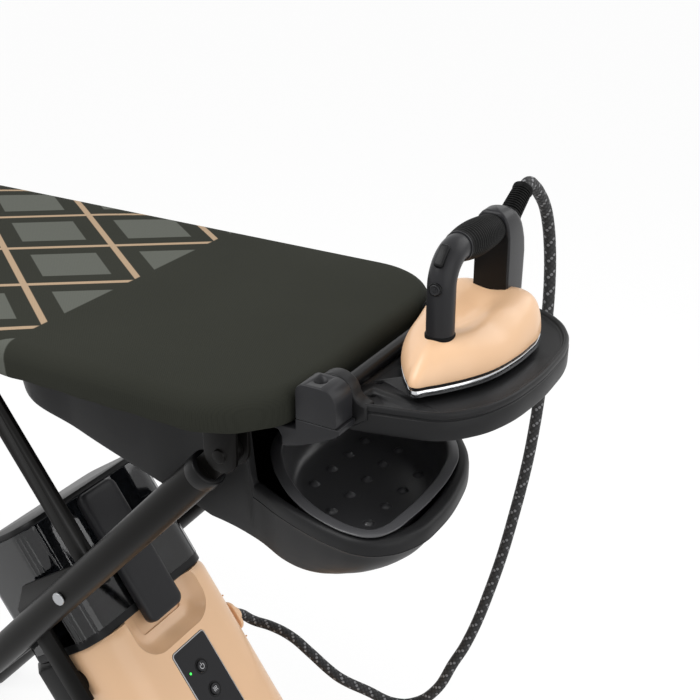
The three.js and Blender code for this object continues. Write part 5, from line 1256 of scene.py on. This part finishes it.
DRAINS = [(0.19, -0.262, 5.2), (0.24, -0.408, 4.5)]
for along, across, radius in DRAINS:
    middle = (along * REST_REACH, across * REST_BULGE)
    carved(rest_plate, plate(arc(middle, radius, 0, 345, 23), -50, -10), BOARD)
settle(rest_plate, charcoal_plastic, "rest", ("iron_rest",))

# %% [markdown]
# ## Barrel and ears
#
# The barrel hides the hinge's pin and is spun round the pin's own axis. Each ear is a plate whose
# arch is centred on the pin and runs down to just above the rest plate.

# %% Barrel over the pin, and the two arched ears
EAR_RADIUS = 22
FLARE_REACH = 52
barrel_profile = [(5, 0), (7.4, 0), (8, 0.6)]
barrel_length = EAR_FAR[0] - EAR_NEAR[1]
barrel_profile += [(8, barrel_length - 0.6), (7.4, barrel_length), (5, barrel_length)]
barrel_ends = [(PIN_X, EAR_NEAR[1], PIN_Z), (PIN_X, EAR_FAR[0], PIN_Z)]
barrel = mesh_object("hinge_barrel", turned(spun(barrel_profile, 40), pointing(*barrel_ends)), BOARD)
settle(barrel, black_plastic, "rest")
for side, (low, high) in (("near", EAR_NEAR), ("far", EAR_FAR)):
    arch = arc((PIN_X, PIN_Z), EAR_RADIUS, 180, 12, 16)
    flare_z = REST_TOP + 4
    last = Vector(arch[-1])
    bend = Vector((last.x + 4, flare_z + 1))
    end = Vector((FLARE_REACH, flare_z))
    flare = [last * (1 - t) ** 2 + bend * 2 * t * (1 - t) + end * t**2 for t in (i / 8 for i in range(1, 9))]
    ear_line = [(PIN_X - EAR_RADIUS, -38), *arch, *flare, (FLARE_REACH, -30), (38, -40)]
    depth_cut = 0 if side == "far" else 1
    ear_bm = plate(ear_line, low + depth_cut, high, "Y")
    ear = mesh_object("hinge_ear_" + side, bevelled(ear_bm, 2.2, segments=4, angle=60), BOARD)
    settle(ear, charcoal_plastic, "rest")
print("rest plate:", len(rest_plate.data.polygons), "faces")

# %% [markdown]
# ## Hinge caps and their bases
#
# Each end of the hinge pin sits in a block in two halves. The upper half is a rounded cap with a
# socket in its flat top. The lower half is a foot that spreads under the board, where it is screwed
# to the pan.

# %% Caps and bases
CAP_LEFT = -5
CAP_RIGHT = 39
CAP_PEAK = 10
CAP_LOW = -27.7
CAP_SOCKET = 7
CAP_NEAR = (-144.9, -113.9)
CAP_FAR = (128.9, 159.9)
cap_line = [
    (CAP_LEFT, CAP_LOW),
    (CAP_RIGHT, CAP_LOW),
    *arc((CAP_RIGHT - 17, CAP_PEAK - 17), 17, 0, 90, 10),
    *arc((CAP_LEFT + 10, CAP_PEAK - 10), 10, 90, 180, 8),
]
base_line = [
    (-5.4, -28), (42, -28), (42, -33), (38, -37), (22, -45.6), (0, -55), (-17, -60), (-20.6, -59),
    (-21, -51), (-25, -44), (-49, -43), (-49, -38.4), (-5.4, -38.4),
]
bases = []
for side, (low, high) in (("front", CAP_NEAR), ("back", CAP_FAR)):
    middle = (PIN_X - 3, (low + high) / 2)
    cap = mesh_object("hinge_cap_" + side, bevelled(plate(cap_line, low, high, "Y"), 1.3, 3, 50), BOARD)
    socket = plate(arc(middle, CAP_SOCKET, 0, 348.75, 31), CAP_PEAK - 12, CAP_PEAK + 2)
    carved(cap, bevelled(socket, 1.2, 2), BOARD)
    settle(cap, grey_plastic, "board", ("rest_cap_" + side,))
    bases.append(bevelled(plate(base_line, low, high, "Y"), 1.4, 3, 50))
bridge = plate([(-47, -39.3), (-37, -39.3), (-37, -35.4), (-47, -35.4)], -131, 146, "Y")
rest_base = mesh_object("hinge_base", merged(*bases, bevelled(bridge, 0.6, 2)), BOARD)
settle(rest_base, grey_plastic, "board", ("rest_base",))
print("hinge blocks at", CAP_NEAR, "and", CAP_FAR)

# %% [markdown]
# ## The tray and the vacuum housing
#
# The tray is a shallow bowl that hangs in the mouth of the vacuum housing and catches the water
# from the rest. Thirteen domes keep whatever lies in it off its floor. The housing is one deep
# moulded shell with a broad rounded rim and a fine parting groove below it. Towards the other end
# its rim steps up to the board's pan and its floor rises, which leaves room for the folded legs.

# %% Tray bowl
TRAY_REACH = 105
TRAY_HALF = 168
TRAY_FLOOR = -160
TRAY_CENTRE = Vector((2, -22))
BUMP_START = (-2, -14)
BUMP_ROW = 43
BUMP_STEP = 36
TRAY_SHARES = [
    (-0.629, -0.577), (-0.295, -0.774), (0, -0.893), (0.39, -0.982), (0.638, -1), (0.829, -0.97),
    (0.933, -0.887), (0.99, -0.673), (1, -0.381), (0.952, -0.107), (0.857, 0.095), (0.543, 0.357),
    (0.152, 0.56), (-0.324, 0.655), (-0.724, 0.565), (-0.933, 0.298), (-0.971, -0.048),
    (-0.838, -0.381),
]
TRAY_PROFILE = [
    (0, 0.8, -162.6), (14, 0.2, -162.4), (14, 0.09, -158.6), (14, 0.02, -148), (13, 0, -132),
    (11.5, 0, -121), (9.6, 0, -118.8), (2, 0, -118.6), (0.6, 0, -118.1), (0, 0, -117.3),
    (0.1, 0, -116.6), (0.9, 0, -116), (9.8, 0, -115.8), (10.9, 0, -116), (11.9, 0, -116.9),
    (12.4, 0, -118.6), (13.5, 0, -126), (15, 0, -138), (15, 0.03, -148), (15, 0.08, -154.5),
    (15, 0.14, -158.4), (15, 0.22, -159.8), (15, 0.34, -160),
]


def bowl(outline, profile, centre):
    """Rings drawn in from an outline, then shrunk towards the middle by a share."""
    rings = []
    for draw, shrink, z in profile:
        ring = []
        for point in drawn_in(outline, draw):
            place = point.lerp(centre, shrink)
            ring.append((place.x, place.y, z))
        rings.append(ring)
    return skin(rings)


tray_line = smooth_line([(TRAY_REACH * a, TRAY_HALF * b) for a, b in TRAY_SHARES], 4, closed=True)
BUMP_PLACES = [
    (BUMP_START[0] + row * BUMP_ROW, BUMP_START[1] + step * BUMP_STEP)
    for row, first, last in ((-1, -1, 2), (0, -2, 2), (1, -2, 1))
    for step in range(first, last + 1)
]
bump_profile = [(0, -0.2), (7.2, -0.2), (6.2, 0.1), (5.3, 0.9), (4.3, 2.1), (2.9, 3.1), (1.3, 3.7), (0, 3.8)]
bumps = [
    turned(spun(bump_profile, 24), Matrix.Translation((x, y, TRAY_FLOOR))) for x, y in BUMP_PLACES
]
tray = mesh_object("drip_tray", merged(bowl(tray_line, TRAY_PROFILE, TRAY_CENTRE), *bumps), BOARD)
settle(tray, tray_plastic, "board", ("iron_tray",))
print("tray with", len(BUMP_PLACES), "domes")

# %% [markdown]
# ## Vacuum housing
#
# The shell is one skin: up the outside, over the rounded rim and down the inside. Its lower edge is
# crisp under the board and is drawn towards one point at the tray's end, which makes a bowl there.

# %% Vacuum housing
HOUSING_REACH = 123
HOUSING_BULGE = 171
HOUSING_HALF = 124
HOUSING_LEFT = -410
HOUSING_RISE = -130
HOUSING_RIM = -120
HOUSING_STEP = (-76, -62)
PAN_LOW = -35.6
HOUSING_LOW = -188
HOUSING_SHALLOW = -104
FLARE_SHARES = [
    (-0.537, -0.795), (-0.179, -0.895), (0.146, -0.965), (0.407, -1), (0.618, -1), (0.805, -0.936),
    (0.967, -0.749), (1, -0.567), (0.959, -0.222), (0.837, 0.082), (0.65, 0.304), (0.358, 0.503),
    (-0.049, 0.655), (-0.537, 0.713),
]
SIDE_SHARES = [(0.317, 1), (0.5, 1), (0.75, 1), (0.95, 0.95), (1, 0.7)]
flare_points = [(HOUSING_REACH * a, HOUSING_BULGE * b) for a, b in FLARE_SHARES]
far_side = [(HOUSING_LEFT * a, HOUSING_HALF * b) for a, b in SIDE_SHARES]
near_side = [(x, -y) for x, y in reversed(far_side)]
housing_line = smooth_line([*flare_points, *far_side, *near_side], 4, closed=True)


def housing_rim(x):
    """The rim's height: under the pan on the left, lower round the tray."""
    share = eased((x - HOUSING_STEP[0]) / (HOUSING_STEP[1] - HOUSING_STEP[0]))
    return PAN_LOW + (HOUSING_RIM - PAN_LOW) * share


def housing_floor(x):
    share = min(max((x - HOUSING_LEFT) / (HOUSING_RISE - HOUSING_LEFT), 0.0), 1.0)
    return HOUSING_SHALLOW + (HOUSING_LOW - HOUSING_SHALLOW) * share


HOUSING_WALL = 3
HOUSING_EDGE = 5
BOWL_SHARE = 0.36
BOWL_START = -30
RIM_DRAW = 0.1
BOWL_MIDDLE = Vector((-60, -60))
BOWL_POINTS = [(0.25, 0.06), (0.5, 0.2), (0.72, 0.42), (0.88, 0.68), (0.97, 0.88), (1, 1)]
bowl_curve = [(p.x, p.y) for p in smooth_line([(share, draw, 0) for share, draw in BOWL_POINTS], 0.05)]


def housing_ring(wall, below, share, draw=0.0, lift=0.0):
    """A ring of the shell, drawn in under the board and towards the bowl's middle at the tray."""
    ring = []
    for point in drawn_in(housing_line, wall + draw * HOUSING_EDGE):
        part = eased((point.x - BOWL_START) / (HOUSING_REACH - BOWL_START))
        x, y = point.lerp(BOWL_MIDDLE, draw * part * BOWL_SHARE)
        high = housing_rim(x) - below
        ring.append((x, y, high + (housing_floor(x) + lift - high) * share))
    return ring


# The rim from outside to inside: inwards, millimetres below its top, share of the way to the bowl
RIM_PROFILE = [(0, 15.6, 0), (0.6, 15.2, 0), (0.6, 14.6, 0), (0, 14.2, 0), (0, 9, 0), (0.6, 5, 0), (2, 2, 0)]
RIM_PROFILE += [(4.2, 0.4, 0.02), (6.4, 0, 0.05), (8.4, 0.8, 0.08), (9.6, 3, RIM_DRAW), (10, 6, RIM_DRAW)]
rings = [housing_ring(0, 0, share, draw) for share, draw in reversed(bowl_curve)]
rings += [housing_ring(wall, below, 0, draw) for wall, below, draw in RIM_PROFILE]
rings += [housing_ring(10, 0, share, max(draw, RIM_DRAW), HOUSING_WALL) for share, draw in bowl_curve]
housing_bm = skin(rings)
bmesh.ops.bisect_plane(
    housing_bm,
    geom=[*housing_bm.verts, *housing_bm.edges, *housing_bm.faces],
    dist=0.01,
    plane_co=(HOUSING_RISE, 0, 0),
    plane_no=(1, 0, 0),
)
housing = mesh_object("vacuum_housing_shell", housing_bm, BOARD, smooth=50)

# %% [markdown]
# ## Fan grille
#
# The fan's air passes through slots in the floor. They lean with the floor, and each slot is as long
# as the round grille is wide at that place.

# %% Grille slots in the housing's sloping floor
GRILLE_X = -255
GRILLE_RADIUS = 60
SLOT_WIDTH = 8
grille_lean = math.atan2(HOUSING_SHALLOW - HOUSING_LOW, HOUSING_RISE - HOUSING_LEFT)
grille_middle = Matrix.Translation((GRILLE_X, 0, housing_floor(GRILLE_X)))
grille_place = grille_middle @ Matrix.Rotation(grille_lean, 4, "Y")
slots = []
for i in range(-3, 4):
    x = i * SLOT_WIDTH * 2
    reach = math.sqrt(GRILLE_RADIUS**2 - x**2)
    slot_line = [(p[0] + x, p[1]) for p in rounded_rectangle(-SLOT_WIDTH / 2, SLOT_WIDTH / 2, reach, 3.5, 4)]
    slots.append(turned(plate(slot_line, -6, 6), grille_place))
carved(housing, merged(*slots), BOARD)
reshade(housing, 50)
settle(housing, charcoal_plastic, "board", ("vacuum_housing",))
print("housing:", len(housing.data.polygons), "faces")

# %% [markdown]
# ## The steam generator's housing
#
# The generator hangs between the second pair of legs. Its front is one painted moulding with soft
# shoulders that tapers towards the wheels. Under the tank's spine it has a finger recess with soft
# walls, and below that sits the control panel. Its shape along the housing comes from three smooth
# lines: the face, the side and the back.

# %% Shape of the housing along its length
CASE_HALF = 118
CASE_PARTING = -168
CASE_SHOULDER = 52
FACE_POINTS = [(90, -83.5), (96, -81.4), (110, -81), (300, -81), (500, -81), (548, -85), (585, -97)]
FACE_POINTS += [(612, -125)]
SIDE_POINTS = [(90, 115), (96, 117.4), (110, 118), (300, 118), (500, 118), (548, 115.5), (585, 107)]
SIDE_POINTS += [(612, 90)]
BACK_POINTS = [(90, -236), (110, -238), (440, -238), (515, -229), (580, -204), (612, -165)]


def table_line(points):
    """A smooth line through points, as a table sorted along the housing."""
    return [(p.x, p.y) for p in smooth_line([(x, y, 0) for x, y in points], spacing=4)]


def table_at(x, table):
    for (x0, y0), (x1, y1) in zip(table, table[1:]):
        if x <= x1:
            return y0 + (y1 - y0) * (x - x0) / max(x1 - x0, 0.001)
    return table[-1][1]


face_table, side_table, back_table = (table_line(p) for p in (FACE_POINTS, SIDE_POINTS, BACK_POINTS))


def front_ring(x):
    """Half a section of the housing: up one side, over the shoulders and down the other."""
    half, top = table_at(x, side_table), table_at(x, face_table)
    low = max(CASE_PARTING + 0.15, table_at(x, back_table))
    shoulder = min(CASE_SHOULDER, (top - low) * 0.8)
    near, far = shoulder - half, half - shoulder
    ring = [(x, half, low), *((x, y, z) for y, z in arc((far, top - shoulder), shoulder, 0, 90, 12))]
    ring += [(x, y, z) for y, z in arc((near, top - shoulder), shoulder, 90, 180, 12)]
    return [*ring, (x, -half, low)]


# %% [markdown]
# ## Front moulding
#
# The outer body is a solid skin, and the finger recess and the panel's room are cut out of it. Its
# normals are weighted afterwards, so that the cuts leave no shading marks.

# %% Front moulding
case_steps = [90, 93, 97, 103, 110, 200, 300, 400, 500, 520, 540, 556, 570, 582, 592, 600, 606, 610, 612]
outer = [front_ring(x) for x in case_steps]
case_front = mesh_object("generator_front_shell", skin(outer), CASE)
recess_line = rounded_rectangle(20, 152, 68, 36, 12)
recess_profile = [(-3, -78), (-0.6, -80.4), (1, -82), (4, -86), (9, -92), (14, -96.6), (19, -99), (24, -100)]
recess_profile += [(28.5, -100.4), (29.5, -101), (30, -103.6)]
carved(case_front, profiled(recess_line, recess_profile), CASE)
panel_line = rounded_rectangle(159.6, 288.4, 33.4, 6.4, 6)
carved(case_front, plate(panel_line, -86.5, -78), CASE)
reshade(case_front, 30)
settle(case_front, tan_shell, "leg_b", ("generator_front",))
print("front moulding:", len(case_front.data.polygons), "faces")

# %% [markdown]
# ## Water tank and its spine
#
# The tank is a clear cup with a few ribs along its corners, which stiffen it and catch the light.
# A dark spine runs down its face: it is the handle by which the tank is lifted out. A dark foot
# frame closes its lower end.

# %% Clear tank
TANK_LOW = 89.4
TANK_TOP = -75
TANK_HALF = 116
TANK_FACE = -91
TANK_BACK = -222
TANK_SHOULDER = 34
TANK_FOOT = 17
TANK_WALL = 2.5
TANK_RIBS = (14, 24, 34, 62)
RIB_HALF = 2.2


def tank_ring(x, wall, ribs=0.0):
    """A section of the tank; the shoulders' ribs stand out by the given height."""
    half, top, low = TANK_HALF - wall, TANK_FACE - wall, TANK_BACK + wall
    shoulder, foot = TANK_SHOULDER - wall, TANK_FOOT - wall
    ring = []
    for side in (1, -1):
        turned_arc = []
        for i in range(49):
            angle = 90 * i / 48
            near = min(abs(angle - rib) for rib in TANK_RIBS)
            radius = shoulder + ribs * max(0.0, 1 - near / RIB_HALF)
            y = side * (half - shoulder + radius * math.cos(math.radians(angle)))
            turned_arc.append((x, y, top - shoulder + radius * math.sin(math.radians(angle))))
        ring += turned_arc if side > 0 else turned_arc[::-1]
    ring += [(x, y, z) for y, z in arc((foot - half, low + foot), foot, 180, 270, 8)]
    return ring + [(x, y, z) for y, z in arc((half - foot, low + foot), foot, 270, 360, 8)]


# Outside, rim and inside of the cup: place along it, drawn in, height of the ribs
TANK_PROFILE = [
    (TANK_LOW, 1.5, 0),
    (TANK_LOW - 1.5, 0, 0),
    (TANK_LOW - 8, 0, 0),
    (TANK_LOW - 10, 0, 1.3),
    (TANK_TOP + 6, 0, 1.3),
    (TANK_TOP + 4, 0, 0),
    (TANK_TOP + 0.6, 0, 0),
    (TANK_TOP, 0.6, 0),
    (TANK_TOP, TANK_WALL, 0),
    (TANK_LOW - TANK_WALL - 3, TANK_WALL, 0),
    (TANK_LOW - TANK_WALL, TANK_WALL + 3, 0),
]
tank_rings = [tank_ring(x, draw, ribs) for x, draw, ribs in TANK_PROFILE]
tank = mesh_object("clear_tank", skin(tank_rings), CASE)
settle(tank, clear_plastic, "tank", ("water_tank",))
FRAME_PROFILE = [(78.5, -0.3), (88, -0.3), (89.6, 1), (89.6, 8), (88.9, 8), (88.9, -0.05), (78.5, -0.05)]
frame_rings = [tank_ring(x, draw) for x, draw in (*FRAME_PROFILE, FRAME_PROFILE[0])]
foot_frame = mesh_object("tank_foot_frame", skin(frame_rings, False, False), CASE)
settle(foot_frame, black_plastic, "tank")

# %% [markdown]
# ## Spine
#
# The spine is the handle by which the tank is lifted. It is one rounded strip that bends over softly
# at its edges.

# %% Spine
spine_line = rounded_rectangle(-75, 114, 32, 12, 8)
spine_profile = [(1.4, -90.7), (0, -89.4), (0, -82.6), (0.5, -80.4), (1.8, -78.7), (4, -77.8), (7, -77.4)]
spine_profile += [(11, -77.2)]
spine = mesh_object("tank_spine", profiled(spine_line, spine_profile), CASE, smooth=50)
settle(spine, grey_plastic, "tank", ("tank_handle",))
print("tank ring corners:", len(tank_rings[0]))

# %% [markdown]
# ## Control panel
#
# The panel is a grey plate, and the fine pale ring round its edge is a painted highlight. It carries a power
# key and a steam key, both round, each with a plain printed symbol, and a small green lamp.

# %% Panel plate, keys, symbols and lamp
PANEL_TOP = -80.2
POWER_ALONG = 197
MODE_ALONG = 232
KEY_RADIUS = 7.5
panel_bm = profiled(rounded_rectangle(160, 288, 33, 6, 6), [(0, -84.2), (0, -80.9), (0.7, PANEL_TOP)])
panel = mesh_object("panel_plate", panel_bm, CASE)
for along in (POWER_ALONG, MODE_ALONG):
    room = plate(arc((along, 0), KEY_RADIUS + 0.4, 0, 350, 35), -90, -78)
    carved(panel, room, CASE)
reshade(panel, 30)
settle(panel, grey_plastic, "leg_b", ("control_panel",))
# A pale ring round the panel's rim: a painted highlight where its rounded edge would catch the light
highlight_outline = rounded_rectangle(160, 288, 33, 6, 6)
highlight_rings = [
    [(p[0], p[1], z) for p in drawn_in(highlight_outline, draw)]
    for draw, z in ((0.3, -80.6), (0.8, -80.0), (1.6, -80.0), (1.6, -80.6), (0.3, -80.6))
]
panel_edge = mesh_object("panel_edge", skin(highlight_rings, False, False), CASE)
settle(panel_edge, pale_print, "leg_b")


def band(points, width, low, high):
    """A flat printed stroke of even width along points."""
    side = []
    for i, point in enumerate(points):
        after, before = Vector(points[min(i + 1, len(points) - 1)]), Vector(points[max(i - 1, 0)])
        along = (after - before).normalized()
        side.append((Vector(point), Vector((-along.y, along.x)) * width / 2))
    line = [p + n for p, n in side] + [p - n for p, n in reversed(side)]
    return plate(line, low, high)


key_profile = [(0, -3), (7.3, -3), (7.3, 1), (6.9, 1.7), (6.1, 2), (5.4, 1.7), (4.6, 1.45), (0, 1.3)]
PRINT_LOW, PRINT_HIGH = PANEL_TOP + 1.2, PANEL_TOP + 1.5
power_sign = [
    band(arc((POWER_ALONG + 0.3, 0), 3.4, -140, 140, 20), 1, PRINT_LOW, PRINT_HIGH),
    band([(POWER_ALONG - 4.6, 0), (POWER_ALONG - 0.4, 0)], 1, PRINT_LOW, PRINT_HIGH),
]
WAVE_STEP = 0.4
WAVE_HEIGHT = 0.7
WAVE_RATE = 1.7
wave_steps = [i * WAVE_STEP for i in range(17)]
wave = [(MODE_ALONG + 3.2 - t, WAVE_HEIGHT * math.sin(t * WAVE_RATE)) for t in wave_steps]
steam_sign = [
    band([(x, y + offset) for x, y in wave], 0.85, PRINT_LOW, PRINT_HIGH) for offset in (-2.5, 0, 2.5)
]
for name, along, body, node, sign in (
    ("power", POWER_ALONG, "power_key", "power_button", power_sign),
    ("mode", MODE_ALONG, "mode_key", "mode_button", steam_sign),
):
    key_bm = turned(spun(key_profile, 48), Matrix.Translation((along, 0, PANEL_TOP)))
    key = mesh_object(name + "_round_key", key_bm, CASE)
    settle(key, grey_plastic, body, (node,))
    symbol = mesh_object(name + "_symbol", merged(*sign), CASE)
    settle(symbol, pale_print, body)
    rim_profile = [(7.9, -0.6), (10.6, -0.6), (10.8, 0.1), (10.3, 0.5), (9.6, 0.5), (8.3, 0.15), (7.9, 0.05)]
    rim_bm = turned(spun(rim_profile, 48), Matrix.Translation((along, 0, PANEL_TOP)))
    key_rim = mesh_object(name + "_key_rim", rim_bm, CASE)
    settle(key_rim, black_plastic, "leg_b")
lamp_profile = [(0, -1), (1.7, -1), (1.7, 0.2), (1.3, 0.6), (0.6, 0.8), (0, 0.85)]
LAMP_PLACE = (195, -21, PANEL_TOP)
lamp_bm = turned(spun(lamp_profile, 20), Matrix.Translation(LAMP_PLACE))
status_lamp = mesh_object("status_lamp", lamp_bm, CASE)
settle(status_lamp, green_lamp, "leg_b")
print("panel, keys and lamp at", POWER_ALONG, MODE_ALONG)

# %% [markdown]
# ## Hose socket on the generator's side
#
# The hose enters the far side of the housing through a painted boss with a collar. Two short ribs
# stand beside it.

# %% Socket boss and collar
SOCKET_ALONG = 187
SOCKET_HEIGHT = -118
stadium = arc((SOCKET_ALONG + 8, SOCKET_HEIGHT), 14, -90, 90, 12)
stadium += arc((SOCKET_ALONG - 8, SOCKET_HEIGHT), 14, 90, 270, 12)
boss = bevelled(plate(stadium, CASE_HALF - 2.5, CASE_HALF + 3.2, "Y"), 1.6, 4)
collar_profile = [(7.6, 0), (12, 0), (12.4, 3), (11.8, 7.6), (10.9, 8.8), (9, 9), (7.6, 8.2)]
collar_bm = turned(
    spun(collar_profile, 48),
    pointing((SOCKET_ALONG, CASE_HALF + 0.2, SOCKET_HEIGHT), (SOCKET_ALONG, CASE_HALF + 2, SOCKET_HEIGHT)),
)
marks = []
for along in (SOCKET_ALONG - 34, SOCKET_ALONG + 32):
    mark = bevelled(plate(rounded_rectangle(0, 2.4, 7, 1.1, 4), -0.4, 0.9), 0.4, 2)
    mark_place = Matrix.Translation((along, CASE_HALF, SOCKET_HEIGHT))
    marks.append(turned(mark, mark_place @ Matrix.Rotation(-math.pi / 2, 4, "X")))
socket_boss = mesh_object("hose_socket_boss", merged(boss, collar_bm, *marks), CASE)
settle(socket_boss, tan_shell, "leg_b", ("hose_socket",))
print("socket at", SOCKET_ALONG)

# %% [markdown]
# ## Wheels and tube ends
#
# Each wheel has a rubber tyre with two grooves on a moulded disc with a domed hub. The legs' upper
# ends are closed by plastic collars round the tongue that turns in the bracket.

# %% Wheels
AXLE_ALONG = 572
AXLE_HEIGHT = -144.9
WHEEL_PLACE = 138
TYRE_PROFILE = [(50.5, -9), (52, -12), (57, -12), (59.4, -10.4), (60, -7.5), (60, -4.6), (58.8, -4)]
TYRE_PROFILE += [(58.8, -3), (60, -2.4), (60, 2.4), (58.8, 3), (58.8, 4), (60, 4.6), (60, 7.5), (59.4, 10.4)]
TYRE_PROFILE += [(57, 12), (52, 12), (50.5, 9), (50.5, -9)]
DISC_PROFILE = [(5.4, -12), (13, -12), (14, -11), (14.6, -5), (17, -3.2), (42, -3.4), (45.6, -5), (46.6, -10)]
DISC_PROFILE += [(50.4, -10.6), (50.4, 10.6), (46.6, 10), (45.6, 5), (42, 3.4), (17, 3.2), (14.6, 5)]
DISC_PROFILE += [(14, 11), (13, 12), (5.4, 12), (5.4, -12)]
HUB_PROFILE = [(0, 14.4), (3.4, 14.2), (6.6, 13.4), (8.4, 12.2), (8.4, 11), (0, 11)]
for name, body, side in (("front", "wheel_near", -1), ("back", "wheel_far", 1)):
    middle = Vector((AXLE_ALONG, side * WHEEL_PLACE, AXLE_HEIGHT))
    placed = pointing(middle, middle + Vector((0, side, 0)))
    tyre = mesh_object("tyre_" + name, turned(spun(TYRE_PROFILE, 72), placed), CASE)
    settle(tyre, black_rubber, body, ("wheel_" + name,))
    disc = mesh_object("wheel_disc_" + name, turned(spun(DISC_PROFILE, 72), placed), CASE)
    settle(disc, grey_plastic, body)
    hub = mesh_object("hub_cap_" + name, turned(spun(HUB_PROFILE, 32), placed), CASE)
    settle(hub, plain_steel, body)

# %% [markdown]
# ## Tube collars
#
# A plastic collar covers the upper end of each long leg, round the tongue. It is a short spun ring
# with a rounded lip.

# %% Collars on the tubes' upper ends
LEG_Y = 165
COLLAR_PROFILE = [(14.3, 0.6), (17.6, 0.6), (19.1, -0.4), (19.7, -2), (19.7, -15), (19.2, -16), (18.4, -16)]
for name, side in (("front", -1), ("back", 1)):
    top = Matrix.Translation((0, side * LEG_Y, -33.4))
    tube_collar = mesh_object("tube_collar_" + name, turned(spun(COLLAR_PROFILE, 48), top), LEG)
    settle(tube_collar, black_plastic, "leg_a")

# %% [markdown]
# ## Leg tubes
#
# The long legs are round steel tubes. Only the mouth of the bore is modelled, four millimetres deep.
# A flat tongue with a round end stands on each upper end and turns on the bracket's pin.

# %% Leg tubes with the tongues that turn in the brackets
TUBE_PROFILE = [(0, -1147), (17, -1147), (17, -1151), (18.6, -1151), (19, -1150.6), (19, -35), (18, -34)]
TUBE_PROFILE += [(0, -34)]
tongue_line = [(14, -36), *arc((0, 0), 14, 0, 180, 20), (-14, -36)]
for name, side in (("front", -1), ("back", 1)):
    y = side * LEG_Y
    tube = turned(spun(TUBE_PROFILE, 64), Matrix.Translation((0, y, 0)))
    tongue = bevelled(plate(tongue_line, y - 7, y + 7, "Y"), 1, 2)
    leg_tube = mesh_object("round_leg_tube_" + name, merged(tube, tongue), LEG)
    settle(leg_tube, black_paint, "leg_a", ("leg_tube_" + name,))
print("wheels and collars made")

# %% [markdown]
# ## CAD pieces that keep their shape
#
# Tubes, rails, pins, brackets and the parts inside the housings are right as they come. They only
# get their finish and a small rounded corner, which catches the light as a real edge does.

# %% Dress the CAD pieces
dressed = dress(
    black_paint,
    "board_pan",
    "leg_bracket_front",
    "leg_bracket_back",
    "slide_rail_front",
    "slide_rail_back",
    "foot_bar",
    "leg_stay",
    "rest_pin",
    "carrier_front",
    "carrier_back",
)
dressed += dress(
    plain_steel,
    "perforated_deck",
    "fan_motor",
    "height_rack",
    "cross_bolt_front",
    "cross_bolt_back",
    "slide_bar",
    "boiler",
    "wheel_axle",
)
dressed += dress(black_plastic, "fan_duct", "tank_lid", "generator_back")
dressed += dress(grey_plastic, "fan_impeller", "height_lever", "water_pump")
dressed += dress(black_plastic, "thumb_key", "steam_trigger", corner=2.4 * MM)
dressed += dress(black_rubber, "foot_cap_front", "foot_cap_back", "mains_gland")
dressed += dress(circuit_green, "circuit_board")
print("dressed CAD pieces:", dressed)
